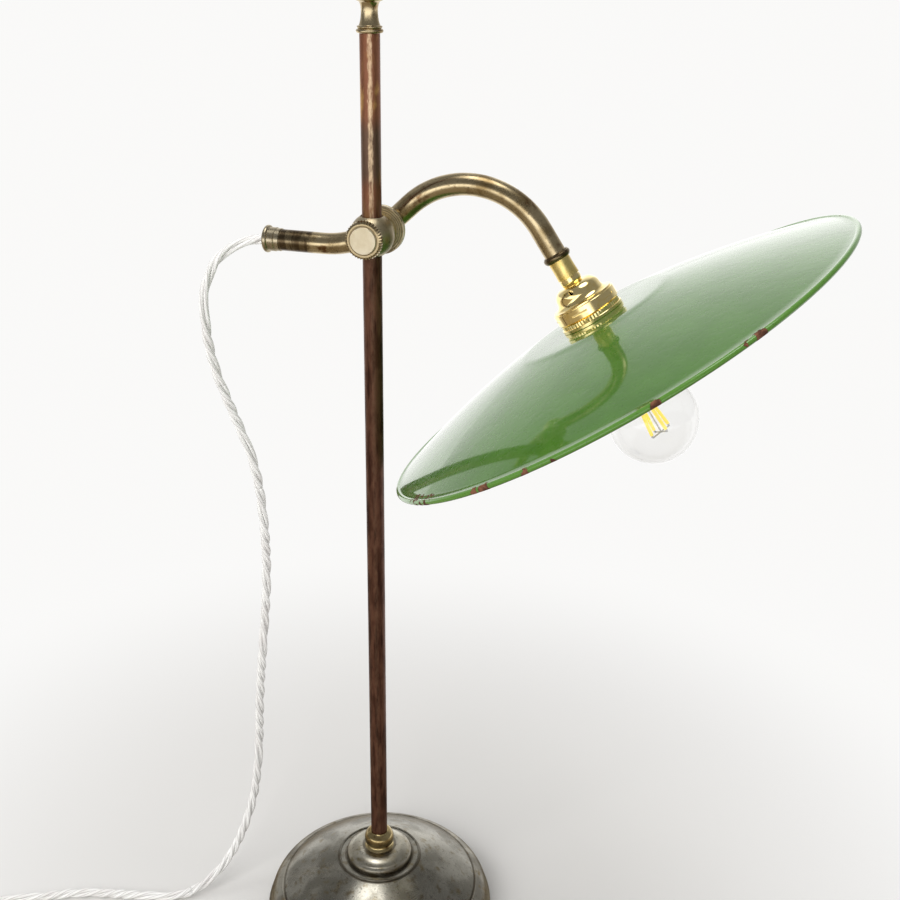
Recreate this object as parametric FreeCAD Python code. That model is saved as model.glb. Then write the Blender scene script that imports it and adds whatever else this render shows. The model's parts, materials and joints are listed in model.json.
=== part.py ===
import FreeCAD, Part
import math
import os

# An adjustable desk lamp. A weighted round base carries a rod with a turned finial. A ball clamp
# slides up and down the rod and turns about it, held by a knurled thumbscrew. A swan-neck arm
# tilts on the back of the clamp and carries a lampholder, a wide enamelled shade and a bulb.
# The flex leaves the tail of the arm, hangs to the table and ends in a coil and a plug.
# Sizes are in millimetres and angles in degrees. Values named share or shares have no unit.
# The origin is on the rod's axis at the table, Z is up, and the arm lies along X.

# Fits and gaps
slip = 0.05          # radial clearance of a shaft that turns or slides in its bore
free = 0.3           # gap beside a piece that has to move past its neighbour
overrun = 1.0        # how far a cut passes the face that it leaves
straight_share = 0.95   # an edge this much in line with an axis counts as along it

# Base
pad_thickness = 2.0
pad_inset = 4.7
base_radius = 90.7
band_height = 9.0
band_bulge = 1.7
band_step = 2.2
step_rise = 2.0
shoulder_radius = 79.0
shoulder_height = 25.0
shoulder_bulge = 2.6
dome_top_height = 51.5
dome_top_radius = 31.0
dome_edge_radius = 77.1
dome_bulge = 2.2
dome_wall = 1.2
dome_bead = 1.6
rebate_depth = 1.5
groove_width = 0.6
base_floor = 15.0
boss_radius = 20.0
pocket_radius = 14.0
pocket_depth = 13.0

# Collars where the rod enters the base
collar_radius = 26.0
collar_height = 9.7
collar_top_radius = 14.0
collar_side_share = 0.6
neck_radius = 11.6
neck_height = 14.9
neck_cove = 2.1
neck_bead_share = 0.36
neck_shoulder_share = 0.52

# Rod and finial
rod_radius = 6.35
rod_top = 682.1
stud_radius = 5.0
nut_across = 16.0
nut_height = 8.0
washer_radius = 11.0
washer_thickness = 1.5
finial_height = 38.0
finial_radius = 9.0
finial_stud_radius = 3.0
finial_stud_length = 14.0
# The finial's outline in shares of its radius and height: a corner, or an arc's middle and end
finial_shares = (
    (0.82, 0), ((0.89, 0.07), (0.8, 0.14)), ((0.63, 0.24), (0.575, 0.34)),
    ((0.6, 0.41), (0.73, 0.47)), (0.9, 0.5), ((1, 0.53), (0.9, 0.565)),
    ((0.68, 0.58), (0.66, 0.61)), ((0.96, 0.77), (0.38, 0.93)),
)

# Ball clamp on the rod
clamp_height = 558.9
ball_radius = 14.5
ball_flat = 12.0
ball_back = 15.0
boss_share = 0.64
bush_wall = 1.0
bush_length = 23.6
bush_slot = 1.2
screw_radius = 2.95
pad_length = 1.3
head_radius = 12.5
head_thickness = 4.2
head_gap = 1.0
knurl_teeth = 40
knurl_depth = 0.9
face_radius = 8.9
face_rise = 0.8
pivot_radius = 4.5
pivot_length = 5.3
pivot_groove = 0.9
pivot_groove_width = 2.0
grub_radius = 1.5
friction_washer_thickness = 0.7

# Hub at the back of the clamp, which carries the arm
hub_disc_radius = 16.0
hub_disc_thickness = 4.7
hub_rim_groove = 0.8
hub_barrel_radius = 11.0
hub_depth = 20.2
barrel_edge_share = 0.93
barrel_end_share = 0.75

# Swan-neck arm
arm_radius = 7.25
arm_wall = 1.2
arm_offset = 27.5       # from the rod's axis back to the plane of the arm
tail_reach = 87.2       # from the rod's axis to the end of the tail ferrule
tail_straight = 45.0    # where the level tail ends, from the rod's axis
rise_radius = 74.5
rise_angle = 43.4
rise_straight = 15.2
crook_radius = 57.5
holder_angle = 34.2     # the lampholder's axis, from the vertical
neck_straight = 22.7    # straight end of the arm below the crook

# Ferrule and bush at the tail
ferrule_length = 11.6
ferrule_radius = 8.15
ferrule_bead_radius = 9.4
ferrule_bead_length = 3.5
ferrule_lip = 2.5
ferrule_step_share = 0.7
bush_depth = 9.0
lead_radius = 3.0

# Lampholder, measured along its own axis
end_collar_radius = 9.2
end_collar_length = 4.5
end_bead_share = 0.42
coupler_length = 12.7
coupler_radius = 7.4
coupler_bore_share = 0.66
nipple_radius = 5.0
nipple_wall = 1.6
lock_ring_length = 5.2
lock_ring_radius = 7.2
lock_shoulder_share = 0.55
cap_height = 12.6
cap_radius = 20.4
cap_dome_radius = 15.4
cap_wall = 1.0
cap_shoulder_share = 0.56
cap_screw_share = 0.24
ring_radius = 21.5
ring_length = 8.5
ring_bevel = 1.3
ring_slots = 6
slot_length = 11.0
slot_width = 1.4
slot_depth = 0.8
band_radius = 20.5
band_length = 2.5
band_teeth = 60
lip_length = 2.4
body_radius = 14.3
body_wall = 2.7
body_length = 31.0
body_flange = 1.2
lower_ring_length = 4.0
lower_ring_radius = 20.0
block_radius = 17.8
plunger_radius = 1.8
plunger_spacing = 10.0
plunger_reach = 3.2
terminal_share = 0.8
cap_screw_radius = 1.6
cap_screw_length = 4.2
terminal_radius = 1.7

# Shade
shade_radius = 170.0
shade_height = 30.6
shade_sheet = 0.9
shade_bead = 1.6
crown_radius = 50.0
knee_run = 7.0
knee_drop = 1.2
cone_rise = 2.0

# Bulb
bulb_radius = 30.0
bulb_length = 105.0
bulb_wall = 0.8
bulb_cap_radius = 11.0
bulb_cap_length = 26.0
bulb_neck_radius = 12.0
pin_radius = 1.0
pin_reach = 13.4
pin_depth = 7.8
hook_angle = 20.0
filament_radius = 0.9
filament_length = 30.0
filament_spread = 7.5
support_radius = 0.5
stem_radius = 2.4

# Flex, coil and plug
flex_radius = 3.75
flex_end_share = 0.45      # share of a run that an arc takes up at each end
coil_radius = 50.0
coil_pitch = 9.6
coil_rise = 8.0
coil_centre = (-330.0, -185.0)
coil_entry = 131.4
coil_half_turns = 7
coil_climb = 3
coil_lift = 1.3
coil_lead = 35.0
tie_width = 12.0
tie_thickness = 1.0
plug_gap = 44.0
plug_length = 50.0
plug_nose = 12.5
plug_half_width = 24.5
plug_shoulder = 24.0
plug_cover_height = 9.0
plug_height = 23.0
plug_corner = 4.0
pin_spacing = 11.1
pin_row = 16.0
pin_rise = 22.2
pin_width = 6.3
pin_thickness = 4.0
pin_length = 17.7
earth_width = 8.0
earth_length = 22.7
plug_screw_radius = 3.5

# Corners of the flex's route, from the ferrule to the table and along it. Each corner lies
# outside the bend that it makes.
flex_route = [
    (-87.2, 27.5, 543.8), (-103, 27.5, 543.8), (-120.5, 22.5, 533.5), (-131, 17, 512),
    (-132, 14.8, 486), (-128.5, 15.3, 454), (-118, 18.3, 420), (-103, 22.6, 378),
    (-98.3, 23.8, 334), (-97.8, 24.2, 284), (-102.5, 22.9, 232), (-109, 21.2, 172),
    (-111.5, 20, 118), (-115.5, 16.5, 76), (-122, 5, 44), (-130, -11, 22.5),
    (-142, -30, 9), (-160, -46, 3.75), (-193, -54, 3.75), (-235, -62.5, 3.75),
    (-268, -79, 3.75), (-300, -92.5, 3.75),
]
flex_breaks = (5, 7, 16)   # runs that are cut in the middle, where one stretch meets the next

# Heights and places that follow from the sizes
V = FreeCAD.Vector
up = V(0, 0, 1)
down = V(0, 0, -1)
back = V(0, 1, 0)
shoulder_top = pad_thickness + shoulder_height
rebate_floor = shoulder_top - rebate_depth
dome_top = pad_thickness + dome_top_height
boss_top = dome_top - dome_wall
collar_top = dome_top + collar_height
pocket_top = pad_thickness + pocket_depth
bore_radius = rod_radius + slip
bush_radius = rod_radius + slip + bush_wall
ball_bore = bush_radius + slip
hub_front = ball_back + friction_washer_thickness + slip + slip
pivot_tip = hub_front - slip - slip - friction_washer_thickness - pivot_length
groove_centre = pivot_tip + pivot_groove_width + pivot_groove_width / 2
head_back = ball_flat + head_gap
arm_inner = arm_radius - arm_wall
tail_height = clamp_height - rise_radius + math.sqrt(rise_radius ** 2 - tail_straight ** 2)
tail_end = V(-tail_reach, arm_offset, tail_height)

# Stations along the lampholder's axis, from the end of the crook
coupler_start = neck_straight
coupler_end = coupler_start + coupler_length
lock_end = coupler_end + lock_ring_length
cap_end = lock_end + cap_height
ring_end = cap_end + ring_length
band_end = ring_end + band_length
crown_station = band_end + lip_length
sheet_end = crown_station + shade_sheet
flange_end = ring_end - ring_bevel
flange_start = flange_end - body_flange
body_end = flange_start + body_length
block_end = flange_start + shade_height / 4
bulb_start = block_end + plunger_reach + free
bulb_cap_end = bulb_start + bulb_cap_length
bulb_tip = bulb_start + bulb_length
bulb_centre = bulb_tip - bulb_radius


def turned(start, *steps):
    # A solid of revolution about Z. A step is a point (radius, height), or two points: one that
    # an arc passes through and the one where it ends.
    first = V(start[0], 0, start[1])
    here = first
    edges = []
    for step in steps:
        if isinstance(step[0], tuple):
            middle = V(step[0][0], 0, step[0][1])
            last = V(step[1][0], 0, step[1][1])
            edges.append(Part.Arc(here, middle, last).toShape())
        else:
            last = V(step[0], 0, step[1])
            edges.append(Part.LineSegment(here, last).toShape())
        here = last
    if here != first:
        edges.append(Part.LineSegment(here, first).toShape())
    return Part.Face(Part.Wire(edges)).revolve(V(0, 0, 0), up, 360)


def ring(outer, inner, low, high):
    # A plain ring about Z.
    return turned((inner, low), (outer, low), (outer, high), (inner, high))


def rod_along(radius, low, high):
    # A plain round bar about Z.
    return Part.makeCylinder(radius, high - low, V(0, 0, low))


def placed(shape, origin, direction=up):
    # The shape with its origin moved and its Z axis turned to the direction.
    copy = shape.copy()
    move = FreeCAD.Placement(origin, FreeCAD.Rotation(up, direction))
    copy.Placement = move.multiply(shape.Placement)
    return copy


def beside(start, end, bulge):
    # The point that lies to the left of the middle of the way from start to end.
    run = (end[0] - start[0], end[1] - start[1])
    length = math.hypot(run[0], run[1])
    middle = ((start[0] + end[0]) / 2, (start[1] + end[1]) / 2)
    return (middle[0] - run[1] / length * bulge, middle[1] + run[0] / length * bulge)


def cap_to(foot, top):
    # The arc of a ball that closes over the axis, from a point (radius, height) to its top.
    rise = top - foot[1]
    ball = (foot[0] ** 2 + rise ** 2) / (2 * rise)
    half = math.atan2(foot[0], ball - rise) / 2
    return (ball * math.sin(half), top - ball + ball * math.cos(half)), (0, top)


def toothed(radius, depth, teeth, low, high):
    # A bar with straight V teeth round it.
    points = []
    for k in range(2 * teeth):
        reach = radius if k % 2 == 0 else radius - depth
        angle = math.pi * k / teeth
        points.append(V(reach * math.cos(angle), reach * math.sin(angle), low))
    return Part.Face(Part.makePolygon(points + points[:1])).extrude(V(0, 0, high - low))


def hexagon(across, low, high):
    # A six-sided bar, as wide across its flats as the size given.
    corner = across / math.sqrt(3)
    points = [V(corner * math.cos(math.pi * k / 3), corner * math.sin(math.pi * k / 3), low)
              for k in range(7)]
    return Part.Face(Part.makePolygon(points)).extrude(V(0, 0, high - low))


def bend(start, corner, end):
    # The arc that touches both runs of a corner, and the radius that it has.
    into = (corner - start).normalize()
    out = (end - corner).normalize()
    turn = into.getAngle(out)
    weight = math.cos(turn / 2)
    middle = (start + corner * (2 * weight) + end) * (1 / (2 + 2 * weight))
    return Part.Arc(start, middle, end).toShape(), (corner - start).Length / math.tan(turn / 2)


def tube_along(edges, radius):
    # A round bar swept along edges that touch each other tangentially.
    start = edges[0].valueAt(edges[0].FirstParameter)
    heading = edges[0].tangentAt(edges[0].FirstParameter)
    profile = Part.Wire(Part.Circle(start, heading, radius).toShape())
    return Part.Wire(edges).makePipeShell([profile], True, False)


def base_casting():
    # Cast base: a bulged band, a rounded shoulder with a rebate for the dome, and a central boss
    # over a pocket for the nut.
    band_top = pad_thickness + band_height
    step = (base_radius - band_step, band_top + step_rise)
    shoulder = (shoulder_radius, shoulder_top)
    rebate = dome_edge_radius + free
    ledge = rebate - boss_radius / 2
    bore = stud_radius + slip
    return turned(
        (pocket_radius, pad_thickness),
        (base_radius - band_bulge, pad_thickness),
        ((base_radius, pad_thickness + band_height / 2), (base_radius - band_bulge / 2, band_top)),
        step,
        (beside(step, shoulder, -shoulder_bulge), shoulder),
        (rebate, shoulder_top),
        (rebate, rebate_floor),
        (ledge, rebate_floor),
        (ledge, base_floor),
        (boss_radius, base_floor),
        (boss_radius, boss_top),
        (bore, boss_top),
        (bore, pocket_top),
        (pocket_radius, pocket_top))


def base_dome():
    # Spun cover over the casting, with a small bead round its flat top.
    edge = dome_edge_radius
    foot = (edge, shoulder_top + groove_width)
    crest = (dome_top_radius + dome_bead, dome_top - dome_bead / 2)
    inner_foot = (edge - dome_wall, foot[1] - dome_wall / 2)
    inner_crest = (dome_top_radius, boss_top - dome_bead / 2)
    return turned(
        (edge - dome_wall, rebate_floor),
        (edge, rebate_floor),
        foot,
        (beside(foot, crest, -dome_bulge), crest),
        ((dome_top_radius + dome_bead / 2, dome_top + dome_bead / 2), (dome_top_radius, dome_top)),
        (bore_radius, dome_top),
        (bore_radius, boss_top),
        (dome_top_radius - dome_wall, boss_top),
        inner_crest,
        (beside(inner_crest, inner_foot, dome_bulge), inner_foot))


def base_collar():
    # Fat rounded ring on top of the dome, with a small lip round the neck collar.
    foot = (collar_radius - slip, dome_top)
    side = (collar_radius - collar_height / 4, dome_top + collar_height * collar_side_share)
    crest = (collar_top_radius, collar_top)
    return turned(
        (bore_radius, dome_top),
        foot,
        (beside(foot, side, -collar_height / 9), side),
        (beside(side, crest, -collar_height / 7), crest),
        (bore_radius, collar_top))


def neck_collar():
    # Turned collar round the foot of the rod: a cove, a bead and a rounded top.
    low = collar_top
    cove = (neck_radius - neck_cove, low + neck_height / 4)
    bead = (neck_radius, low + neck_height * neck_bead_share)
    shoulder = (neck_radius, low + neck_height * neck_shoulder_share)
    rim = (bore_radius + slip + neck_cove / 2, low + neck_height)
    return turned(
        (bore_radius, low),
        (neck_radius, low),
        (beside((neck_radius, low), cove, neck_cove / 4), cove),
        bead,
        shoulder,
        (beside(shoulder, rim, -neck_cove / 2), rim),
        (bore_radius, low + neck_height))


def lamp_rod():
    # Plain rod with a threaded stud at its foot for the nut and one at its top for the finial.
    foot = pocket_top - washer_thickness - nut_height - slip - washer_thickness
    rod = rod_along(rod_radius, boss_top, rod_top)
    rod = rod.fuse(rod_along(stud_radius, foot, boss_top))
    return rod.fuse(rod_along(finial_stud_radius, rod_top, rod_top + finial_stud_length))


def rod_washer():
    return ring(washer_radius, stud_radius + slip, pocket_top - washer_thickness, pocket_top)


def rod_nut():
    top = pocket_top - washer_thickness
    nut = hexagon(nut_across, top - nut_height, top)
    return nut.cut(rod_along(stud_radius, top - nut_height - overrun, top + overrun))


def finial():
    # Turned finial: a rounded collar, a long waist, a bead, a ball and a small tip.
    def at(shares):
        return (finial_radius * shares[0], rod_top + finial_height * shares[1])
    steps = [tuple(at(pair) for pair in step) if isinstance(step[0], tuple) else at(step)
             for step in finial_shares]
    body = turned((0, rod_top), *steps, cap_to(at(finial_shares[-1][1]), rod_top + finial_height))
    return body.cut(rod_along(finial_stud_radius, rod_top - overrun, rod_top + finial_stud_length))


def rod_bush():
    # Split liner between the rod and the ball, which keeps the screw off the rod.
    bush = ring(bush_radius, bore_radius, -bush_length / 2, bush_length / 2)
    slot = Part.makeBox(bush_radius, bush_slot, bush_length + 2 * overrun,
                        V(-bush_radius - overrun, -bush_slot / 2, -bush_length / 2 - overrun))
    return placed(bush.cut(slot), V(0, 0, clamp_height))


def clamp_ball():
    # Ball with a vertical bore for the rod, a flat in front for the thumbscrew and a boss at the
    # back with a socket for the pivot.
    ball = Part.makeSphere(ball_radius)
    front = Part.makeBox(4 * ball_radius, 2 * ball_radius, 4 * ball_radius,
                         V(-2 * ball_radius, -ball_flat - 2 * ball_radius, -2 * ball_radius))
    ball = ball.cut(front)
    boss_foot = ball_back - ball_radius / 4
    boss = math.sqrt(ball_radius ** 2 - boss_foot ** 2)
    ball = ball.fuse(placed(rod_along(boss, boss_foot - overrun, ball_back), V(0, 0, 0), back))
    ball = ball.cut(rod_along(ball_bore, -2 * ball_radius, 2 * ball_radius))
    screw_bore = rod_along(screw_radius + slip, 0, ball_flat + overrun)
    ball = ball.cut(placed(screw_bore, V(0, 0, 0), -back))
    socket = rod_along(pivot_radius + slip, pivot_tip - slip, ball_back + overrun)
    ball = ball.cut(placed(socket, V(0, 0, 0), back))
    grub_bore = rod_along(grub_radius, 0, 2 * ball_radius)
    ball = ball.cut(placed(grub_bore, V(0, groove_centre, 0), down))
    return placed(ball, V(0, 0, clamp_height))


def friction_washer():
    outer = ball_radius * boss_share
    washer = ring(outer, pivot_radius + slip, ball_back, ball_back + friction_washer_thickness)
    return placed(washer, V(0, 0, clamp_height), back)


def pivot_grub_screw():
    # Set screw in the ball's underside, whose tip keeps the pivot in its socket.
    length = math.sqrt(ball_radius ** 2 - groove_centre ** 2) - free
    tip = pivot_radius - pivot_groove + free
    screw = turned(
        (0, tip),
        (pivot_groove_width / 2 - free, tip),
        (pivot_groove_width / 2 - free, pivot_radius),
        (grub_radius, pivot_radius + slip),
        (grub_radius, length),
        (0, length))
    socket = hexagon(grub_radius, length - grub_radius, length + overrun)
    return placed(screw.cut(socket), V(0, groove_centre, clamp_height), down)


def pressure_pad():
    # Soft disc on the thumbscrew's tip, which bears on the liner.
    face = bush_radius + free
    pad = turned(
        (0, face),
        (screw_radius - slip, face),
        (screw_radius - slip, face + pad_length),
        (0, face + pad_length))
    return placed(pad, V(0, 0, clamp_height), -back)


def thumbscrew():
    # Knurled head with a smooth raised face, on a short screw.
    face_end = head_back + head_thickness
    blank = turned(
        (0, head_back),
        (head_radius - knurl_depth, head_back),
        (head_radius, head_back + knurl_depth),
        (head_radius, face_end - knurl_depth),
        (head_radius - knurl_depth - knurl_depth, face_end),
        (0, face_end))
    teeth = toothed(head_radius, knurl_depth, knurl_teeth, head_back, face_end)
    head = blank.common(teeth)
    face = turned(
        (0, face_end),
        (face_radius, face_end),
        (face_radius - face_rise / 2, face_end + face_rise),
        (0, face_end + face_rise))
    tip = bush_radius + free + pad_length + slip
    screw = head.fuse([face, rod_along(screw_radius, tip, head_back)])
    return placed(screw, V(0, 0, clamp_height), -back)


def arm_edges(start_reach, end_straight):
    # Centre line of the arm in its plane: level tail, rise, straight, crook and straight end.
    def point(x, z):
        return V(x, arm_offset, z)
    rise = math.radians(rise_angle)
    fall = math.radians(90 - holder_angle)
    tail = point(-start_reach, tail_height)
    foot = point(-tail_straight, tail_height)
    centre = foot + V(0, 0, rise_radius)
    def on_rise(angle):
        return centre + V(math.sin(angle), 0, -math.cos(angle)) * rise_radius
    top = on_rise(rise) + V(math.cos(rise), 0, math.sin(rise)) * rise_straight
    hub = top + V(math.sin(rise), 0, -math.cos(rise)) * crook_radius
    def on_crook(angle):
        return hub + V(-math.sin(angle), 0, math.cos(angle)) * crook_radius
    last = on_crook(-fall)
    return [
        Part.LineSegment(tail, foot).toShape(),
        Part.Arc(foot, on_rise(rise / 2), on_rise(rise)).toShape(),
        Part.LineSegment(on_rise(rise), top).toShape(),
        Part.Arc(top, on_crook((rise - fall) / 2), last).toShape(),
        Part.LineSegment(last, last + holder_axis * end_straight).toShape()]


holder_axis = V(math.sin(math.radians(holder_angle)), 0, -math.cos(math.radians(holder_angle)))
crook_end = arm_edges(tail_reach, neck_straight)[3].Vertexes[-1].Point


def on_holder(shape):
    # A piece of the lampholder, modelled along Z from the end of the crook.
    return placed(shape, crook_end, holder_axis)


def arm_tube():
    start = tail_reach - ferrule_lip
    tube = tube_along(arm_edges(start, neck_straight), arm_radius)
    return tube.cut(tube_along(arm_edges(start + overrun, neck_straight + overrun), arm_inner))


def swivel_hub():
    # Disc that turns against the clamp, with a grooved rim, a pivot with a groove for the grub
    # screw, and a barrel that the arm passes through.
    disc_end = hub_front + hub_disc_thickness
    groove = groove_centre - pivot_groove_width / 2
    middle = hub_front + hub_disc_thickness / 2
    barrel_end = hub_front + hub_depth
    hub = turned(
        (0, pivot_tip),
        (pivot_radius, pivot_tip),
        (pivot_radius, groove),
        (pivot_radius - pivot_groove, groove),
        (pivot_radius - pivot_groove, groove + pivot_groove_width),
        (pivot_radius, groove + pivot_groove_width),
        (pivot_radius, hub_front),
        (hub_disc_radius, hub_front),
        (hub_disc_radius, middle - hub_rim_groove),
        (hub_disc_radius - hub_rim_groove, middle),
        (hub_disc_radius, middle + hub_rim_groove),
        (hub_disc_radius, disc_end - hub_rim_groove),
        (hub_disc_radius - hub_rim_groove, disc_end),
        (hub_barrel_radius, disc_end),
        (hub_barrel_radius, barrel_end - hub_barrel_radius / 4),
        ((hub_barrel_radius * barrel_edge_share, barrel_end - hub_barrel_radius / 14),
         (hub_barrel_radius * barrel_end_share, barrel_end)),
        (0, barrel_end))
    hub = placed(hub, V(0, 0, clamp_height), back)
    passage = tube_along(arm_edges(tail_straight + overrun, neck_straight)[:3], arm_radius)
    return hub.cut(passage)


def tail_ferrule():
    # Turned ferrule over the tail of the arm: an end bead and a stepped sleeve.
    end = ferrule_bead_length
    step = ferrule_length * ferrule_step_share
    ferrule = turned(
        (arm_inner, 0),
        (ferrule_radius, 0),
        ((ferrule_bead_radius, end / 2), (ferrule_radius, end)),
        (ferrule_radius, step),
        (arm_radius + slip + (ferrule_radius - arm_radius) / 2, step + free),
        (arm_radius + slip + (ferrule_radius - arm_radius) / 2, ferrule_length),
        (arm_radius, ferrule_length),
        (arm_radius, ferrule_lip),
        (arm_inner, ferrule_lip))
    return placed(ferrule, tail_end, V(1, 0, 0))


def cord_bush():
    # Insulating bush that keeps the flex off the metal edge.
    inner = flex_radius + slip
    bush = turned(
        (inner, 0),
        (arm_inner, 0),
        (arm_inner, bush_depth),
        (inner + free, bush_depth),
        (inner, bush_depth - free))
    return placed(bush, tail_end, V(1, 0, 0))


def inner_lead():
    # The flex's cores, from the ferrule through the arm to the contact block.
    edges = arm_edges(tail_reach, flange_start - body_flange - ring_length / 2)
    return tube_along(edges, lead_radius)


def end_collar():
    # Two beads with a groove between them, round the end of the arm.
    top = neck_straight - end_collar_length
    bead = end_collar_length * end_bead_share
    waist = end_collar_radius - end_collar_length / 4
    return on_holder(turned(
        (arm_radius, top),
        (waist, top),
        ((end_collar_radius, top + bead / 2), (waist, top + bead)),
        (waist, neck_straight - bead),
        ((end_collar_radius, neck_straight - bead / 2), (waist, neck_straight)),
        (arm_radius, neck_straight)))


def coupler():
    # Polished sleeve that plugs into the arm and takes the nipple.
    spigot = coupler_start - end_collar_length
    depth = coupler_length * coupler_bore_share
    bore = nipple_radius - nipple_wall
    return on_holder(turned(
        (bore, spigot),
        (arm_inner, spigot),
        (arm_inner, coupler_start),
        (coupler_radius - free / 2, coupler_start),
        (beside((coupler_radius - free / 2, coupler_start), (coupler_radius, coupler_end), free / 2),
         (coupler_radius, coupler_end)),
        (nipple_radius, coupler_end),
        (nipple_radius, coupler_end - depth),
        (bore, coupler_end - depth)))


def hollow_nipple():
    # Threaded tube that joins the coupler to the lampholder's cap.
    low = coupler_end - coupler_length * coupler_bore_share
    return on_holder(ring(nipple_radius, nipple_radius - nipple_wall, low, lock_end + 2 * cap_wall))


def lock_ring():
    groove = lock_ring_length / 8
    return on_holder(turned(
        (nipple_radius, coupler_end),
        (lock_ring_radius - groove, coupler_end),
        (lock_ring_radius - groove, coupler_end + groove),
        (lock_ring_radius, coupler_end + groove),
        (lock_ring_radius, coupler_end + lock_ring_length * lock_shoulder_share),
        (beside((lock_ring_radius, coupler_end + lock_ring_length * lock_shoulder_share),
                (lock_ring_radius - groove - groove / 2, lock_end), -groove / 4),
         (lock_ring_radius - groove - groove / 2, lock_end)),
        (nipple_radius, lock_end)))


def holder_cap():
    # Domed cap of the lampholder, with a skirt that screws into the slotted ring.
    neck = (lock_ring_radius, lock_end)
    shoulder = (cap_dome_radius, lock_end + cap_height * cap_shoulder_share)
    brim = (cap_radius, cap_end - cap_wall)
    skirt = cap_radius - cap_wall
    inner_neck = (lock_ring_radius - cap_wall / 2, lock_end + cap_wall)
    inner_shoulder = (cap_dome_radius - cap_wall, shoulder[1] + cap_wall / 4)
    inner_brim = (skirt - cap_wall, cap_end)
    cap = turned(
        (nipple_radius, lock_end),
        neck,
        (beside(neck, shoulder, -cap_height / 5), shoulder),
        (beside(shoulder, brim, cap_height / 9), brim),
        (cap_radius, cap_end),
        (skirt, cap_end),
        (skirt, flange_start),
        (skirt - cap_wall, flange_start),
        inner_brim,
        (beside(inner_brim, inner_shoulder, -cap_height / 9), inner_shoulder),
        (beside(inner_shoulder, inner_neck, cap_height / 5), inner_neck),
        (nipple_radius, lock_end + cap_wall))
    hole = rod_along(cap_screw_radius, 0, cap_radius)
    return on_holder(cap.cut(placed(hole, V(0, 0, cap_screw_station), -back)))


cap_screw_station = lock_end + cap_height * cap_screw_share


def cap_screw():
    # Small grub screw in the neck of the cap, which locks the cap to the nipple.
    start = nipple_radius + free
    end = start + cap_screw_length + cap_screw_radius
    screw = rod_along(cap_screw_radius, start, end)
    slot = Part.makeBox(2 * cap_screw_radius + 2 * overrun, cap_screw_radius / 3, cap_screw_radius,
                        V(-cap_screw_radius - overrun, -cap_screw_radius / 6,
                          end - cap_screw_radius / 2))
    return on_holder(placed(screw.cut(slot), V(0, 0, cap_screw_station), -back))


def slotted_ring():
    # Ring that clamps the lampholder's body to its cap, with slots round it for a spanner.
    skirt = cap_radius - cap_wall
    lip = (body_radius + skirt) / 2
    blank = turned(
        (skirt, cap_end),
        (ring_radius - free, cap_end),
        (ring_radius, cap_end + free),
        (ring_radius, ring_end - ring_bevel),
        (ring_radius - ring_bevel, ring_end),
        (lip, ring_end),
        (lip, flange_end),
        (skirt, flange_end))
    middle = (cap_end + flange_end) / 2
    for k in range(ring_slots):
        slot = Part.makeBox(slot_depth + overrun, slot_length, slot_width,
                            V(ring_radius - slot_depth, -slot_length / 2, middle - slot_width / 2))
        slot.rotate(V(0, 0, 0), up, 360 * (k + 0.5) / ring_slots)
        blank = blank.cut(slot)
    return on_holder(blank)


def holder_body():
    # Threaded body: a flange held by the slotted ring and a skirt that goes down through the
    # shade, with two hooked slots for the bulb's pins.
    inner = body_radius - body_wall
    flange = cap_radius - cap_wall - slip
    body = turned(
        (inner, flange_start),
        (flange, flange_start),
        (flange, flange_end),
        (body_radius, flange_end),
        (body_radius, body_end),
        (inner, body_end))
    pin_station = bulb_start + pin_depth
    width = 2 * pin_radius + free
    for side in (0, 180):
        entry = Part.makeBox(body_radius, width, body_end - pin_station + overrun,
                             V(0, -width / 2, pin_station))
        entry.rotate(V(0, 0, 0), up, side - hook_angle)
        entry = entry.cut(rod_along(inner - overrun, pin_station - overrun, body_end + 2 * overrun))
        hook = Part.makeCylinder(body_radius + overrun, width, V(0, 0, pin_station - width / 2),
                                 up, hook_angle + math.degrees(width / inner))
        hook.rotate(V(0, 0, 0), up, side - hook_angle - math.degrees(width / inner) / 2)
        hook = hook.cut(rod_along(inner - overrun, pin_station - width, pin_station + width))
        body = body.cut(entry).cut(hook)
    return on_holder(body)


def upper_shade_ring():
    # Ring screwed down on the shade: a toothed band above a plain lip.
    bore = body_radius + slip
    band = toothed(band_radius, free, band_teeth, ring_end, band_end)
    band = band.cut(rod_along(bore, ring_end - overrun, band_end + overrun))
    lip = turned(
        (bore, band_end),
        (ring_radius - free, band_end),
        (ring_radius, band_end + free),
        (ring_radius, crown_station - free),
        (ring_radius - free, crown_station),
        (bore, crown_station))
    return on_holder(band.fuse(lip))


def shade():
    # Spun and enamelled sheet: a flat crown, a soft knee, a slightly domed cone and a rolled rim.
    hole = body_radius + free
    knee = (crown_radius + knee_run, crown_station + knee_drop)
    bead = (shade_radius - shade_bead, crown_station + shade_height - shade_bead)
    rim = (shade_radius - 2 * shade_bead, bead[1] - shade_bead / 2)
    inner_rim = (rim[0], bead[1] + shade_bead / 2)
    inner_edge = (rim[0] - shade_bead, rim[1] + shade_sheet)
    inner_knee = (knee[0] - shade_sheet / 3, knee[1] + shade_sheet)
    return on_holder(turned(
        (hole, crown_station),
        (crown_radius, crown_station),
        (beside((crown_radius, crown_station), knee, -knee_drop / 8), knee),
        (beside(knee, rim, -cone_rise), rim),
        ((shade_radius, bead[1]), inner_rim),
        inner_edge,
        (beside(inner_edge, inner_knee, cone_rise), inner_knee),
        (beside(inner_knee, (crown_radius, sheet_end), knee_drop / 8), (crown_radius, sheet_end)),
        (hole, sheet_end)))


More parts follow.
